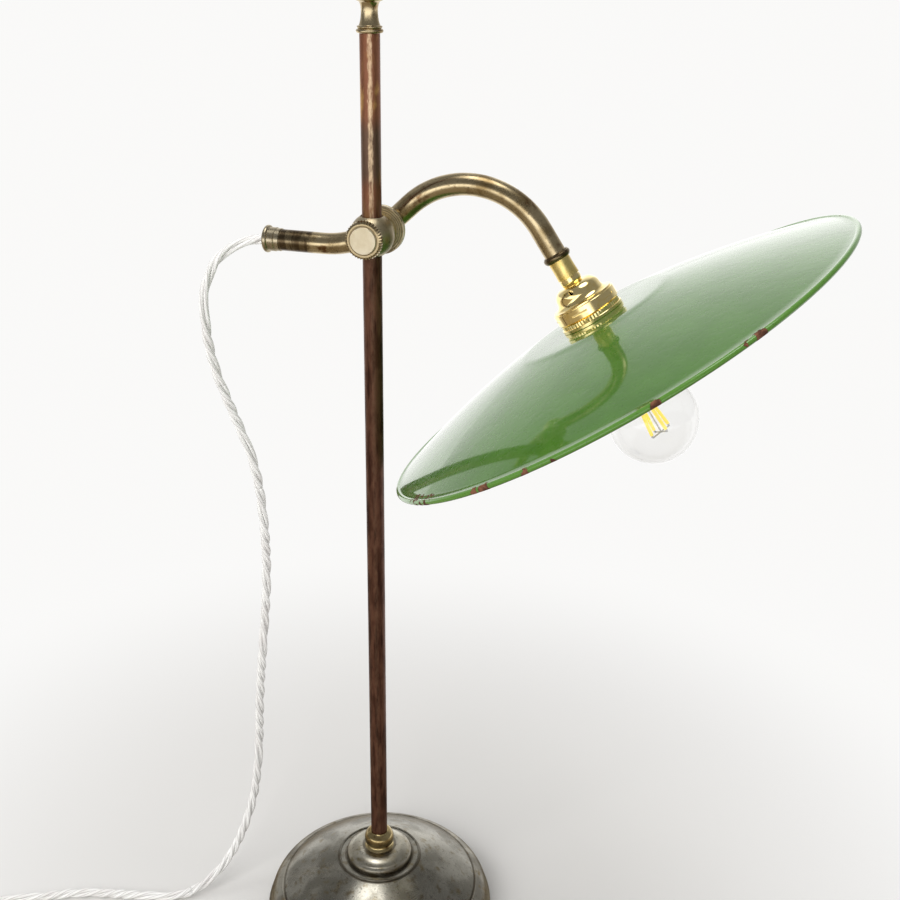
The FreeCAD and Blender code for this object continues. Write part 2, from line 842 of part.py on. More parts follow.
def lower_shade_ring():
    # Ring that holds the shade from below, with four finger notches.
    bore = body_radius + slip
    end = sheet_end + lower_ring_length
    blank = turned(
        (bore, sheet_end),
        (lower_ring_radius, sheet_end),
        (lower_ring_radius, end - free),
        (lower_ring_radius - free, end),
        (bore, end))
    for k in range(4):
        notch = rod_along(lower_ring_length / 2, sheet_end - overrun, end + overrun)
        notch.translate(V(lower_ring_radius + lower_ring_length / 4, 0, 0))
        notch.rotate(V(0, 0, 0), up, 90 * k + 45)
        blank = blank.cut(notch)
    return on_holder(blank)


def contact_block():
    # Moulded block inside the lampholder, bored for the plungers and the terminal screws.
    top = flange_start - body_flange - ring_length / 2
    step = flange_start - ring_length / 2
    inner = body_radius - body_wall - free
    block = turned(
        (0, top),
        (inner, top),
        (inner, step),
        (block_radius, step),
        (block_radius, flange_start),
        (inner, flange_start),
        (inner, block_end),
        (0, block_end))
    for side in (-1, 1):
        bore = rod_along(plunger_radius + slip, step, block_end + overrun)
        bore.translate(V(0, side * plunger_spacing / 2, 0))
        hole = rod_along(terminal_radius, top - overrun, step)
        hole.translate(V(side * plunger_spacing * terminal_share, 0, 0))
        block = block.cut(bore).cut(hole)
    return on_holder(block)


def plunger_pair(make):
    # Two copies of a piece, one on each plunger's axis.
    pieces = []
    for side in (-1, 1):
        piece = make()
        piece.translate(V(0, side * plunger_spacing / 2, 0))
        pieces.append(piece)
    return on_holder(Part.makeCompound(pieces))


plunger_start = block_end - shade_height / 8
spring_start = flange_start - ring_length / 2


def plungers():
    # Two spring contacts with rounded tips.
    end = block_end + plunger_reach
    return plunger_pair(lambda: turned(
        (0, plunger_start),
        (plunger_radius, plunger_start),
        (plunger_radius, end - plunger_radius / 2),
        cap_to((plunger_radius, end - plunger_radius / 2), end)))


def plunger_springs():
    return plunger_pair(lambda: ring(plunger_radius - free, plunger_radius / 2,
                                     spring_start, plunger_start))


def terminal_screws():
    # Two screws that hold the cores to the contact block.
    top = flange_start - body_flange - ring_length / 2
    step = flange_start - ring_length / 2
    screws = []
    for side in (-1, 1):
        screw = rod_along(terminal_radius, top, step)
        slot = Part.makeBox(2 * terminal_radius + 2 * overrun, terminal_radius / 3,
                            terminal_radius / 3 + overrun,
                            V(-terminal_radius - overrun, -terminal_radius / 6, top - overrun))
        screw = screw.cut(slot)
        screw.translate(V(side * plunger_spacing * terminal_share, 0, 0))
        screws.append(screw)
    return on_holder(Part.makeCompound(screws))


def bulb_cap():
    # Bayonet cap with two side pins.
    cap = turned(
        (0, bulb_start),
        (bulb_cap_radius - pin_radius, bulb_start),
        (bulb_cap_radius, bulb_start + pin_radius),
        (bulb_cap_radius, bulb_cap_end),
        (bulb_neck_radius - bulb_wall - 2 * slip - pin_radius, bulb_cap_end),
        (bulb_neck_radius - bulb_wall - 2 * slip - pin_radius, bulb_start + 2 * pin_depth),
        (0, bulb_start + 2 * pin_depth))
    pins = placed(rod_along(pin_radius, -pin_reach, pin_reach),
                  V(0, 0, bulb_start + pin_depth), V(1, 0, 0))
    return on_holder(cap.fuse(pins))


def bulb_glass():
    # Clear envelope: a narrow neck that swells into a ball.
    join_share = 0.82
    drop = math.sqrt(1 - join_share ** 2)

    def outline(inset):
        ball = bulb_radius - inset
        neck = (bulb_neck_radius - inset, bulb_cap_end)
        join = (ball * join_share, bulb_centre - ball * drop)
        return ball, neck, join
    ball, neck, join = outline(0)
    hollow, inner_neck, inner_join = outline(bulb_wall)
    return on_holder(turned(
        inner_neck,
        neck,
        (beside(neck, join, bulb_wall), join),
        ((ball, bulb_centre), (0, bulb_tip)),
        (0, bulb_tip - bulb_wall),
        ((hollow, bulb_centre), inner_join),
        (beside(inner_join, inner_neck, -bulb_wall), inner_neck)))


stem_end = bulb_centre - bulb_radius * 0.75


def bulb_stem():
    # Glass stem that stands in the neck and carries the supports.
    foot = bulb_neck_radius - bulb_wall - 2 * slip - pin_radius
    start = bulb_cap_end - pin_depth
    return on_holder(turned(
        (0, start),
        (foot, start),
        (foot, bulb_cap_end),
        (beside((foot, bulb_cap_end), (stem_radius, stem_end - stem_radius * 3), stem_radius),
         (stem_radius, stem_end - stem_radius * 3)),
        (stem_radius, stem_end),
        (0, stem_end)))


def filament_line(k):
    # Ends of one filament: they lean outwards from near the stem and back to the lower ring.
    angle = math.radians(45 + 90 * k)
    outward = V(math.cos(angle), math.sin(angle), 0)
    start = outward * (filament_spread / 2) + V(0, 0, stem_end + stem_radius)
    end = outward * filament_spread
    end.z = start.z + math.sqrt(filament_length ** 2 - (filament_spread / 2) ** 2)
    return start, end


def bar_between(start, end, radius):
    run = end - start
    return placed(rod_along(radius, 0, run.Length), start, run)


def filaments():
    # Four straight light-emitting sticks.
    return on_holder(Part.makeCompound(
        [bar_between(*filament_line(k), filament_radius) for k in range(4)]))


def filament_supports():
    # Wires that hold the sticks: four from the stem, and a cross below joined by a central wire.
    wires = []
    for k in range(4):
        start, end = filament_line(k)
        foot = V(0, 0, stem_end + support_radius)
        tip = start - (end - start).normalize() * filament_radius
        wires.append(bar_between(foot, tip, support_radius))
    low = filament_line(0)[1].z + support_radius + free
    middle = rod_along(support_radius, stem_end, low + support_radius)
    for k in range(4):
        end = filament_line(k)[1]
        wires.append(bar_between(V(0, 0, low), V(end.x, end.y, low), support_radius))
    return on_holder(middle.fuse(wires))


def coil_point(k):
    # A point of the coil each half turn: the loops spiral in on the lower layer, and out again
    # on the upper one.
    step = min(k, coil_climb + coil_climb - k + 1) if k > coil_climb else k
    radius = coil_radius - coil_pitch / 2 * step
    angle = math.radians(coil_entry + 180 * k)
    height = flex_radius + coil_lift + (coil_rise if k > coil_climb else 0)
    return V(coil_centre[0] + radius * math.cos(angle),
             coil_centre[1] + radius * math.sin(angle), height)


def coil_heading(k):
    angle = math.radians(coil_entry + 180 * k)
    return V(-math.sin(angle), math.cos(angle), 0)


def coil_edges():
    # A short straight end, then each half turn as two arcs, and a straight end to the plug.
    start = coil_point(0)
    edges = [Part.LineSegment(start - coil_heading(0) * (2 * flex_radius), start).toShape()]
    for k in range(coil_half_turns):
        here = coil_point(k)
        there = coil_point(k + 1)
        reach = (there - here).Length / 2
        near = here + coil_heading(k) * reach
        far = there - coil_heading(k + 1) * reach
        middle = (near + far) * 0.5
        edges.append(bend(here, near, middle)[0])
        edges.append(bend(middle, far, there)[0])
    end = coil_point(coil_half_turns)
    edges.append(Part.LineSegment(end, plug_entry).toShape())
    return edges


plug_heading = coil_heading(coil_half_turns)
plug_entry = coil_point(coil_half_turns) + plug_heading * plug_gap


def route_edges():
    # The hanging and lying flex: straight runs joined by arcs that touch them, cut at the breaks.
    coil_start = coil_point(0) - coil_heading(0) * (2 * flex_radius)
    points = [V(*point) for point in flex_route]
    points += [coil_start - coil_heading(0) * coil_lead, coil_start]
    runs = [b - a for a, b in zip(points, points[1:])]
    stretches = [[]]
    radii = []
    here = points[0]
    for k in range(1, len(points)):
        before = runs[k - 1]
        last = k == len(points) - 1
        reach = 0 if last else flex_end_share * min(before.Length, runs[k].Length)
        stop = points[k] - before.normalize() * reach
        if k in flex_breaks:
            cut = (points[k - 1] + points[k]) * 0.5
            stretches[-1].append(Part.LineSegment(here, cut).toShape())
            stretches.append([])
            here = cut
        stretches[-1].append(Part.LineSegment(here, stop).toShape())
        if not last:
            heading = V(runs[k]).normalize()
            leave = points[k] + heading * reach
            arc, radius = bend(stop, points[k], leave)
            stretches[-1].append(arc)
            radii.append(radius)
            here = leave
    print("flex bend radii", [round(radius, 1) for radius in radii])
    return stretches


def flex_tube(name, edges):
    tube = tube_along(edges, flex_radius)
    length = sum(edge.Length for edge in edges)
    share = tube.Volume / (length * math.pi * flex_radius ** 2)
    print(name, "length", round(length, 1), "volume share", round(share, 4))
    return tube


def coil_gap(edges):
    # The least gap of the coil to itself, on points along its line.
    points = []
    travel = 0
    for edge in edges:
        steps = max(2, int(edge.Length / flex_radius * 2))
        for k in range(steps):
            at = edge.FirstParameter + (edge.LastParameter - edge.FirstParameter) * k / steps
            points.append((travel + edge.Length * k / steps, edge.valueAt(at)))
        travel += edge.Length
    least = min((a[1] - b[1]).Length for i, a in enumerate(points) for b in points[i + 1:]
                if b[0] - a[0] > math.pi * 2 * flex_radius)
    return least - 2 * flex_radius


def coil_tie():
    # Strap round the turns at the side of the coil away from its ends.
    inner = coil_radius - coil_pitch / 2 * coil_climb - flex_radius - free
    outer = coil_radius + flex_radius + free
    low = coil_lift
    high = coil_lift + 2 * flex_radius + coil_rise + free
    outside = Part.makeBox(outer - inner + 2 * tie_thickness, tie_width, high - low + free
                           + 2 * tie_thickness, V(inner - tie_thickness, -tie_width / 2, 0))
    inside = Part.makeBox(outer - inner, tie_width + 2 * overrun, high - low + free,
                          V(inner, -tie_width / 2 - overrun, tie_thickness))
    corners = [edge for edge in outside.Edges
               if abs(edge.tangentAt(edge.FirstParameter).y) > straight_share]
    outside = outside.makeFillet(2 * tie_thickness, corners)
    tie = outside.cut(inside)
    tie.rotate(V(0, 0, 0), up, coil_entry + 90)
    tie.translate(V(coil_centre[0], coil_centre[1], 0))
    return tie


def plug_outline(low, high, inset):
    # Plan of the plug: a narrow nose for the flex and a wide square end.
    nose = plug_nose - inset
    half = plug_half_width - inset
    points = [V(inset, -nose, low), V(plug_shoulder, -half, low),
              V(plug_length - inset, -half, low), V(plug_length - inset, half, low),
              V(plug_shoulder, half, low), V(inset, nose, low)]
    block = Part.Face(Part.makePolygon(points + points[:1])).extrude(V(0, 0, high - low))
    upright = [edge for edge in block.Edges
               if abs(edge.tangentAt(edge.FirstParameter).z) > straight_share]
    return block.makeFillet(plug_corner, upright)


def on_plug(shape):
    shape.rotate(V(0, 0, 0), up, math.degrees(math.atan2(plug_heading.y, plug_heading.x)))
    shape.translate(V(plug_entry.x, plug_entry.y, 0))
    return shape


def pin_boxes(gap):
    # The three flat pins, standing up, each widened by the gap.
    boxes = []
    low = plug_cover_height + plug_corner
    for x, y, along, width, length in (
            (pin_row, pin_spacing, pin_thickness, pin_width, pin_length),
            (pin_row, -pin_spacing, pin_thickness, pin_width, pin_length),
            (pin_row + pin_rise, 0, earth_width, pin_thickness, earth_length)):
        boxes.append(Part.makeBox(along + 2 * gap, width + 2 * gap, plug_height + length - low,
                                  V(x - along / 2 - gap, y - width / 2 - gap, low)))
    return boxes


def plug_base():
    # Moulded half that carries the pins, with the flex's hole in its nose.
    base = plug_outline(plug_cover_height, plug_height, 0)
    hole = placed(rod_along(flex_radius + slip, -overrun, plug_corner),
                  V(0, 0, plug_entry.z), V(1, 0, 0))
    base = base.cut(hole)
    for box in pin_boxes(0):
        base = base.cut(box)
    recess = rod_along(plug_screw_radius, plug_height - plug_corner, plug_height + overrun)
    recess.translate(V(plug_shoulder, 0, 0))
    return on_plug(base.cut(recess))


def plug_cover():
    # Rounded back of the plug, which lies on the table.
    cover = plug_outline(0, plug_cover_height, 0)
    rim = [edge for edge in cover.Edges if edge.BoundBox.ZMax < plug_corner / 2]
    return on_plug(cover.makeFillet(plug_corner / 2, rim))


def plug_pins():
    pins = Part.makeCompound([box.makeChamfer(free, box.Faces[5].Edges) for box in pin_boxes(0)])
    return on_plug(pins)


def plug_screw():
    # Screw that holds the cover, sunk in the face between the pins.
    low = plug_height - plug_corner
    screw = rod_along(plug_screw_radius, low, plug_height - plug_corner / 2)
    slot = Part.makeBox(2 * plug_screw_radius + 2 * overrun, plug_screw_radius / 3, plug_corner,
                        V(-plug_screw_radius - overrun, -plug_screw_radius / 6,
                          plug_height - plug_corner / 2 - free - free))
    screw = screw.cut(slot)
    screw.translate(V(plug_shoulder, 0, 0))
    return on_plug(screw)


def base_pad():
    return rod_along(base_radius - pad_inset, 0, pad_thickness)


def export(name, shape):
    shape.exportStep("parts/" + name + ".step")
    print(name, "valid", shape.isValid(), "solids", len(shape.Solids), "volume",
          round(shape.Volume, 1))


os.makedirs("parts", exist_ok=True)
for maker in (base_pad, base_casting, base_dome, base_collar, neck_collar, rod_washer, rod_nut,
              finial, rod_bush, clamp_ball, friction_washer, pivot_grub_screw, pressure_pad,
              thumbscrew, swivel_hub, arm_tube, tail_ferrule, cord_bush, inner_lead, end_collar,
              coupler, hollow_nipple, lock_ring, holder_cap, cap_screw, slotted_ring, holder_body,
              upper_shade_ring, shade, lower_shade_ring, contact_block, plungers,
              plunger_springs, terminal_screws, bulb_cap, bulb_glass, bulb_stem, filaments,
              filament_supports, coil_tie, plug_base, plug_cover, plug_pins, plug_screw):
    export(maker.__name__, maker())
export("rod", lamp_rod())
for name, edges in zip(("flex_top", "flex_middle", "flex_lower", "flex_table"), route_edges()):
    export(name, flex_tube(name, edges))
winding = coil_edges()
export("flex_coil", flex_tube("flex_coil", winding))
print("least gap of the coil to itself", round(coil_gap(winding), 2))
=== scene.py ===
import json
import math

import bpy
from mathutils import Matrix, Vector


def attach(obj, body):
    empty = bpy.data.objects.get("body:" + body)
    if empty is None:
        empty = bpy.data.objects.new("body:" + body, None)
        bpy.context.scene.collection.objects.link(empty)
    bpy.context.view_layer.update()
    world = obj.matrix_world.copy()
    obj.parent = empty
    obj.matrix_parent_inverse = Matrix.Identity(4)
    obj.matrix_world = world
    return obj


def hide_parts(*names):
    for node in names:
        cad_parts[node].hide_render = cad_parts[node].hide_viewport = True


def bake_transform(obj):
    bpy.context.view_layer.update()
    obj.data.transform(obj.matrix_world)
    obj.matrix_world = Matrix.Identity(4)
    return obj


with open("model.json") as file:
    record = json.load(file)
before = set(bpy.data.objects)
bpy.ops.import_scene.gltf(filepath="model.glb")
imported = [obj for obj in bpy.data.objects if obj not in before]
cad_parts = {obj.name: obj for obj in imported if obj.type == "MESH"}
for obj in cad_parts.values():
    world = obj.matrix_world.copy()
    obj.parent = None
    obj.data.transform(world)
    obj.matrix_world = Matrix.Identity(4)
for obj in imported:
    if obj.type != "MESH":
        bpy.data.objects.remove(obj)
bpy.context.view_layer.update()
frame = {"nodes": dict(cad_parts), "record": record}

# An adjustable desk lamp: a pewter-coloured round base, a patinated rod with a sliding ball
# clamp, a swan-neck arm in aged brass, a polished lampholder, a green enamel shade, a clear
# bulb and a twisted braided flex that ends in a coil and a plug.
# Everything is in metres. The base stands on the origin and the arm lies along X.

bpy.context.scene.view_settings.view_transform = "Standard"
print("frame loaded with", len(frame["nodes"]), "nodes")


# Camera

photoCamera = {
    "place": (0.2604, -0.7190, 0.7381),
    "aim": (-0.2531, 0.8828, -0.3957),
    "lens": 48.0,
    "sensor": 36.0,
    "roll": 0.86,   # degrees
}


def setCamera(spec):
    lens = bpy.data.cameras.new("photoCamera")
    lens.lens = spec["lens"]
    lens.sensor_width = spec["sensor"]
    lens.clip_start = 0.01
    camera = bpy.data.objects.new("photoCamera", lens)
    bpy.context.collection.objects.link(camera)
    turn = Vector(spec["aim"]).to_track_quat("-Z", "Y").to_matrix().to_4x4()
    roll = Matrix.Rotation(math.radians(spec["roll"]), 4, "Z")
    camera.matrix_world = Matrix.Translation(spec["place"]) @ turn @ roll
    bpy.context.scene.camera = camera


setCamera(photoCamera)
print("camera set")


# Shader maths

class Wire:
    # an output socket, which adds Math nodes when it is used in an expression
    def __init__(self, finish, socket):
        self.finish = finish
        self.socket = socket

    def over(self, low, high):
        # rises smoothly from 0 at low to 1 at high
        return self.finish.node("ShaderNodeMapRange", {"interpolation_type": "SMOOTHSTEP"},
                                {"Value": self, "From Min": low, "From Max": high})

    def under(self, low, high):
        # falls smoothly from 1 at low to 0 at high
        return 1 - self.over(low, high)


def operator(operation, turned):
    def act(self, other):
        values = (other, self) if turned else (self, other)
        return self.finish.maths(operation, *values)
    return act


for name, operation in (("add", "ADD"), ("sub", "SUBTRACT"), ("mul", "MULTIPLY"),
                        ("truediv", "DIVIDE"), ("pow", "POWER")):
    setattr(Wire, f"__{name}__", operator(operation, False))
    setattr(Wire, f"__r{name}__", operator(operation, True))


class Finish:
    # One material or world. The other methods add its nodes, and end() closes it.
    def __init__(self, name, world=None):
        self.material = world or bpy.data.materials.new(name)
        self.material.use_nodes = True
        self.tree = self.material.node_tree
        self.tree.nodes.clear()
        self.place = self.node("ShaderNodeTexCoord", out="Generated" if world else "Object")

    def node(self, kind, settings=None, values=None, out=0):
        made = self.tree.nodes.new(kind)
        for key, value in (settings or {}).items():
            setattr(made, key, value)
        for key, value in (values or {}).items():
            self.feed(made.inputs[key], value)
        return Wire(self, made.outputs[out])

    def feed(self, socket, value):
        if isinstance(value, Wire):
            self.tree.links.new(value.socket, socket)
        elif socket.type == "RGBA" and len(value) == 3:
            socket.default_value = (*value, 1.0)
        else:
            socket.default_value = value

    def maths(self, operation, *values):
        return self.node("ShaderNodeMath", {"operation": operation}, dict(enumerate(values)))

    def vector(self, operation, *values, out=0):
        return self.node("ShaderNodeVectorMath", {"operation": operation},
                         dict(enumerate(values)), out)

    def noise(self, scale, detail=3.0, stretch=None, rough=0.55, out=0):
        where = self.vector("MULTIPLY", self.place, stretch) if stretch else self.place
        return self.node("ShaderNodeTexNoise", None, {"Vector": where, "Scale": scale,
                                                      "Detail": detail, "Roughness": rough}, out)

    def clouds(self, scale, low, high, detail=3.0, stretch=None):
        # the part of a noise that lies over low, in full where it is over high
        return self.noise(scale, detail, stretch).over(low, high)

    def ray(self, kind):
        return self.node("ShaderNodeLightPath", out=f"Is {kind} Ray")

    def choose(self, mask, under, over):
        # a value between two others
        return under * (1 - mask) + over * mask

    def larger(self, first, second):
        return self.maths("MAXIMUM", first, second)

    def near(self, place, point, reach, solid=0.55):
        # 1 round a point, out to the solid share of its reach, and 0 beyond its reach
        away = self.vector("DISTANCE", place, point, out="Value")
        return away.under(reach * solid, reach)

    def around(self, point, direction):
        # how far a place lies from an axis through a point
        away = self.vector("SUBTRACT", self.place, point)
        return self.vector("LENGTH", self.vector("CROSS_PRODUCT", away, direction), out="Value")

    def along(self, point, direction):
        # how far a place lies beyond a point, measured along a direction
        away = self.vector("SUBTRACT", self.place, point)
        return self.vector("DOT_PRODUCT", away, direction, out="Value")

    def wave(self, value, length):
        # 0 to 1 and back at every length
        return 0.5 - self.maths("COSINE", value * (2 * math.pi / length)) * 0.5

    def axis(self, which, place=None):
        return self.node("ShaderNodeSeparateXYZ", None, {0: place or self.place}, out=which)

    def mix(self, mask, under, over):
        return self.node("ShaderNodeMix", {"data_type": "RGBA"},
                         {0: mask, 6: under, 7: over}, out=2)

    def end(self, shader, kind="ShaderNodeOutputMaterial"):
        self.feed(self.tree.nodes.new(kind).inputs[0], shader)
        return self.material

    def surface(self, colour, roughness, metallic=0.0, height=None, depth=0.0001, **plain):
        values = {name.replace("_", " "): value for name, value in plain.items()}
        values.update({"Base Color": colour, "Roughness": roughness, "Metallic": metallic})
        if height is not None:
            values["Normal"] = self.node("ShaderNodeBump", None,
                                         {"Height": height, "Distance": depth})
        return self.end(self.node("ShaderNodeBsdfPrincipled", None, values))


def tone(red, green, blue):
    # a colour as a paint chart gives it, from 0 to 255, made linear
    return tuple((c / 255 / 12.92) if c < 11 else ((c / 255 + 0.055) / 1.055) ** 2.4
                 for c in (red, green, blue))


def tones(*colours):
    keys = ("light", "middle", "stain", "dark")
    return {key: tone(*colour) for key, colour in zip(keys, colours)}


# Cord

cordSpec = {
    "diameter": 0.0075,
    "resolution": 24,      # points for each segment of the spline
    "step": 0.0015,        # stations of the strands along the line
    "strands": 3,
    "strandRadius": 0.00168,
    "helixRadius": 0.00196,
    "pitch": 0.046,
    "topPitch": 0.080,     # the strands are twisted less at the top
    "topReach": 0.15,
    # how unevenly they are twisted: the size, the rate and the start of each swing
    "swings": [(0.20, 47, 0.0), (0.12, 113, 1.0)],
    "sides": 12,
    "turnPoints": 8,       # points for each half turn of the coil
    "coilCentre": (-0.330, -0.185),
    "coilEntry": 131.4,
    "coilRadii": (0.0500, 0.0452, 0.0404, 0.0356, 0.0356, 0.0404, 0.0452, 0.0500),
    "coilFloor": 0.00505,
    "coilUpper": 0.01305,
    "coilClimb": 3,        # the half turn that climbs to the upper layer
    "coilLead": 0.0425,
    "plugGap": 0.044,
    "route": [
        (-0.0872, 0.0275, 0.5438), (-0.1015, 0.0265, 0.5418), (-0.1205, 0.0205, 0.5315),
        (-0.1310, 0.0165, 0.5100), (-0.1320, 0.0148, 0.4860), (-0.1285, 0.0153, 0.4540),
        (-0.1180, 0.0183, 0.4200), (-0.1030, 0.0226, 0.3780), (-0.0983, 0.0238, 0.3340),
        (-0.0978, 0.0242, 0.2840), (-0.1025, 0.0229, 0.2320), (-0.1090, 0.0212, 0.1720),
        (-0.1115, 0.0200, 0.1180), (-0.1155, 0.0165, 0.0760), (-0.1220, 0.0050, 0.0440),
        (-0.1300, -0.0110, 0.0225), (-0.1420, -0.0300, 0.0090), (-0.1600, -0.0460, 0.00375),
        (-0.1930, -0.0540, 0.00375), (-0.2350, -0.0625, 0.00375), (-0.2680, -0.0790, 0.00375),
        (-0.3000, -0.0925, 0.00375),
    ],
}


def coilPoints(spec):
    # the straight lead in, the half turns about centres that shift, and the run to the plug
    def outward(k, more=0.0):
        angle = math.radians(spec["coilEntry"] + 180 * k + more)
        return Vector((math.cos(angle), math.sin(angle), 0))

    def onward(k):
        return Vector((-outward(k).y, outward(k).x, 0))

    centre = Vector((*spec["coilCentre"], 0))
    radii = spec["coilRadii"]
    share = 180 / spec["turnPoints"]
    near = radii[0] * math.tan(math.radians(share / 2))
    start = centre + outward(0) * radii[0] + Vector((0, 0, spec["coilFloor"]))
    points = [start - onward(0) * spec["coilLead"], start - onward(0) * near]
    for k in range(len(radii) - 1):
        mean = (radii[k] + radii[k + 1]) / 2
        middle = centre + outward(k) * (radii[k] - radii[k + 1]) / 2
        reach = mean / math.cos(math.radians(share / 2))
        for j in range(spec["turnPoints"]):
            turn = share * (j + 0.5)
            climb = (1 - math.cos(math.radians(turn))) / 2
            low = spec["coilUpper"] if k > spec["coilClimb"] else spec["coilFloor"]
            rise = (spec["coilUpper"] - spec["coilFloor"]) * climb if k == spec["coilClimb"] else 0
            points.append(middle + outward(k, turn) * reach + Vector((0, 0, low + rise)))
    last = len(radii) - 1
    end = centre + outward(last) * radii[last] + Vector((0, 0, spec["coilUpper"]))
    points.append(end + onward(last) * near)
    points.append(end + onward(last) * spec["plugGap"])
    return points


def cordLine(spec):
    # the smooth line that the cord follows, at even steps
    points = [Vector(point) for point in spec["route"]] + coilPoints(spec)
    curve = bpy.data.curves.new("cordLine", "CURVE")
    curve.dimensions = "3D"
    curve.resolution_u = spec["resolution"]
    spline = curve.splines.new("NURBS")
    spline.points.add(len(points) - 1)
    for slot, point in zip(spline.points, points):
        slot.co = (*point, 1.0)
    spline.order_u = 3
    spline.use_endpoint_u = True
    guide = bpy.data.objects.new("cordLine", curve)
    bpy.context.collection.objects.link(guide)
    mesh = bpy.data.meshes.new_from_object(guide)
    line = [vertex.co.copy() for vertex in mesh.vertices]
    bpy.data.objects.remove(guide)
    bpy.data.curves.remove(curve)
    bpy.data.meshes.remove(mesh)
    total = sum((b - a).length for a, b in zip(line, line[1:]))
    count = round(total / spec["step"])
    even = [line[0]]
    walked, k = 0.0, 0
    for j in range(1, count):
        want = total * j / count
        while walked + (line[k + 1] - line[k]).length < want:
            walked += (line[k + 1] - line[k]).length
            k += 1
        run = line[k + 1] - line[k]
        even.append(line[k] + run * ((want - walked) / run.length))
    even.append(line[-1])
    return even


def twistedStrands(line, spec):
    # rings of each strand at every station: the frame that carries them along the line turns
    # only as the line bends
    last = len(line) - 1
    side = (line[1] - line[0]).normalized().orthogonal().normalized()
    corners = [2 * math.pi * j / spec["sides"] for j in range(spec["sides"])]
    less = 1 / spec["pitch"] - 1 / spec["topPitch"]
    rings = []
    for k, point in enumerate(line):
        forward = (line[min(k + 1, last)] - line[max(k - 1, 0)]).normalized()
        side = (side - forward * side.dot(forward)).normalized()
        across = forward.cross(side)
        walked = k * spec["step"]
        loose = sum(size * math.sin(walked * rate + start) for size, rate, start in spec["swings"])
        fade = math.exp(-walked / spec["topReach"])
        turns = walked / spec["pitch"] - less * spec["topReach"] * (1 - fade)
        lean = math.atan(2 * math.pi * spec["helixRadius"] * (1 / spec["pitch"] - less * fade))
        station = []
        for s in range(spec["strands"]):
            angle = -2 * math.pi * (turns + s / spec["strands"]) - loose * math.pi
            out = side * math.cos(angle) + across * math.sin(angle)
            tilted = forward.cross(out) * math.cos(lean) + forward * math.sin(lean)
            middle = point + out * spec["helixRadius"]
            station.append([middle + (out * math.cos(corner) + tilted * math.sin(corner))
                            * spec["strandRadius"] for corner in corners])
        rings.append(station)
    return rings


def cordPiece(name, rings, first, last, spec, material):
    # strands between two stations, closed at both ends, with a UV map that runs along them
    sides = spec["sides"]
    points, faces, weave = [], [], []
    for s in range(spec["strands"]):
        start = len(points)
        for k in range(first, last + 1):
            points.extend(rings[k][s])
        for k in range(last - first):
            low = (first + k) * spec["step"]
            high = low + spec["step"]
            for j in range(sides):
                a = start + k * sides + j
                b = start + k * sides + (j + 1) % sides
                faces.append((a, b, b + sides, a + sides))
                left, right = j / sides, (j + 1) / sides
                weave += [(low, left), (low, right), (high, right), (high, left)]
        faces.append(tuple(start + j for j in reversed(range(sides))))
        faces.append(tuple(start + (last - first) * sides + j for j in range(sides)))
        weave += [(0.0, 0.0)] * (2 * sides)
    mesh = bpy.data.meshes.new(name)
    mesh.from_pydata(points, [], faces)
    layer = mesh.uv_layers.new(name="braid")
    for loop, value in zip(layer.data, weave):
        loop.uv = value
    for face in mesh.polygons:
        face.use_smooth = len(face.vertices) == 4
    mesh.materials.append(material)
    piece = bpy.data.objects.new(name, mesh)
    bpy.context.collection.objects.link(piece)
    return piece


braidSpec = {
    "threads": 6,          # round each strand, in each of two directions
    "threadRate": 2100.0,  # how fast they wind along it, in radians to the metre
    "lines": 4,            # darker lines that run along each strand
    "lineDrift": 4.0,
    "lineRange": (0.60, 1.0), "lineShare": 0.50, "line": tone(184, 179, 178),
    "hollowRange": (0.1, 0.8), "hollowShadeShare": 0.05, "relief": 0.2, "depth": 0.00003,
    "grime": (60.0, 0.42, 0.68), "clean": tone(255, 255, 253), "grimy": tone(246, 244, 242),
    "rough": 0.50,
}


def braidFinish(spec):
    # a sleeve of fine threads in two directions, white with a silver cast
    finish = Finish("braidedSleeve")
    weave = finish.node("ShaderNodeUVMap", {"uv_map": "braid"})
    along, around = finish.axis("X", weave), finish.axis("Y", weave)
    phases = [along * spec["threadRate"] + around * (sign * 2 * math.pi * spec["threads"])
              for sign in (1, -1)]
    threads = finish.larger(*[finish.maths("SINE", phase) for phase in phases])
    lines = finish.wave(around + along * spec["lineDrift"], 1 / spec["lines"])
    lines = lines.over(*spec["lineRange"])
    grime = finish.clouds(*spec["grime"], detail=4.0)
    pale = finish.mix(grime, spec["clean"], spec["grimy"])
    # the hollows between the threads get a little painted shade
    dark = threads.under(*spec["hollowRange"]) * spec["hollowShadeShare"] + lines * spec["lineShare"]
    return finish.surface(finish.mix(dark, pale, spec["line"]), spec["rough"],
                          height=threads * spec["relief"] - lines, depth=spec["depth"],
                          Sheen_Weight=0.5, Sheen_Roughness=0.4)


# Each piece of the cord reaches down to a height. A piece listed with a bend between two bodies
# is left where it is laid and rides on neither; any other rides on its body.
cordParts = [
    {"name": "cordTop", "downTo": 0.437, "nodes": ["flex_top"], "bodies": ("arm", "clamp"),
     "bend": ((-0.12, 0.02, 0.5400), (-0.12, 0.02, 0.4400))},
    {"name": "cordMiddle", "downTo": 0.356, "nodes": ["flex_middle"],
     "bodies": ("clamp", "rod_bush"), "bend": ((-0.11, 0.02, 0.4350), (-0.11, 0.02, 0.3600))},
    {"name": "cordLower", "downTo": 0.0064, "nodes": ["flex_lower"],
     "bodies": ("rod_bush", "stand"), "bend": ((-0.10, 0.02, 0.3500), (-0.10, 0.02, 0.0200))},
    {"name": "cordRest", "nodes": ["flex_table", "flex_coil"], "bodies": ("stand",),
     "lay": "coiled", "farEnd": "plug",
     "riders": ["coil_tie", "plug_base", "plug_cover", "plug_pins", "plug_screw"]},
]


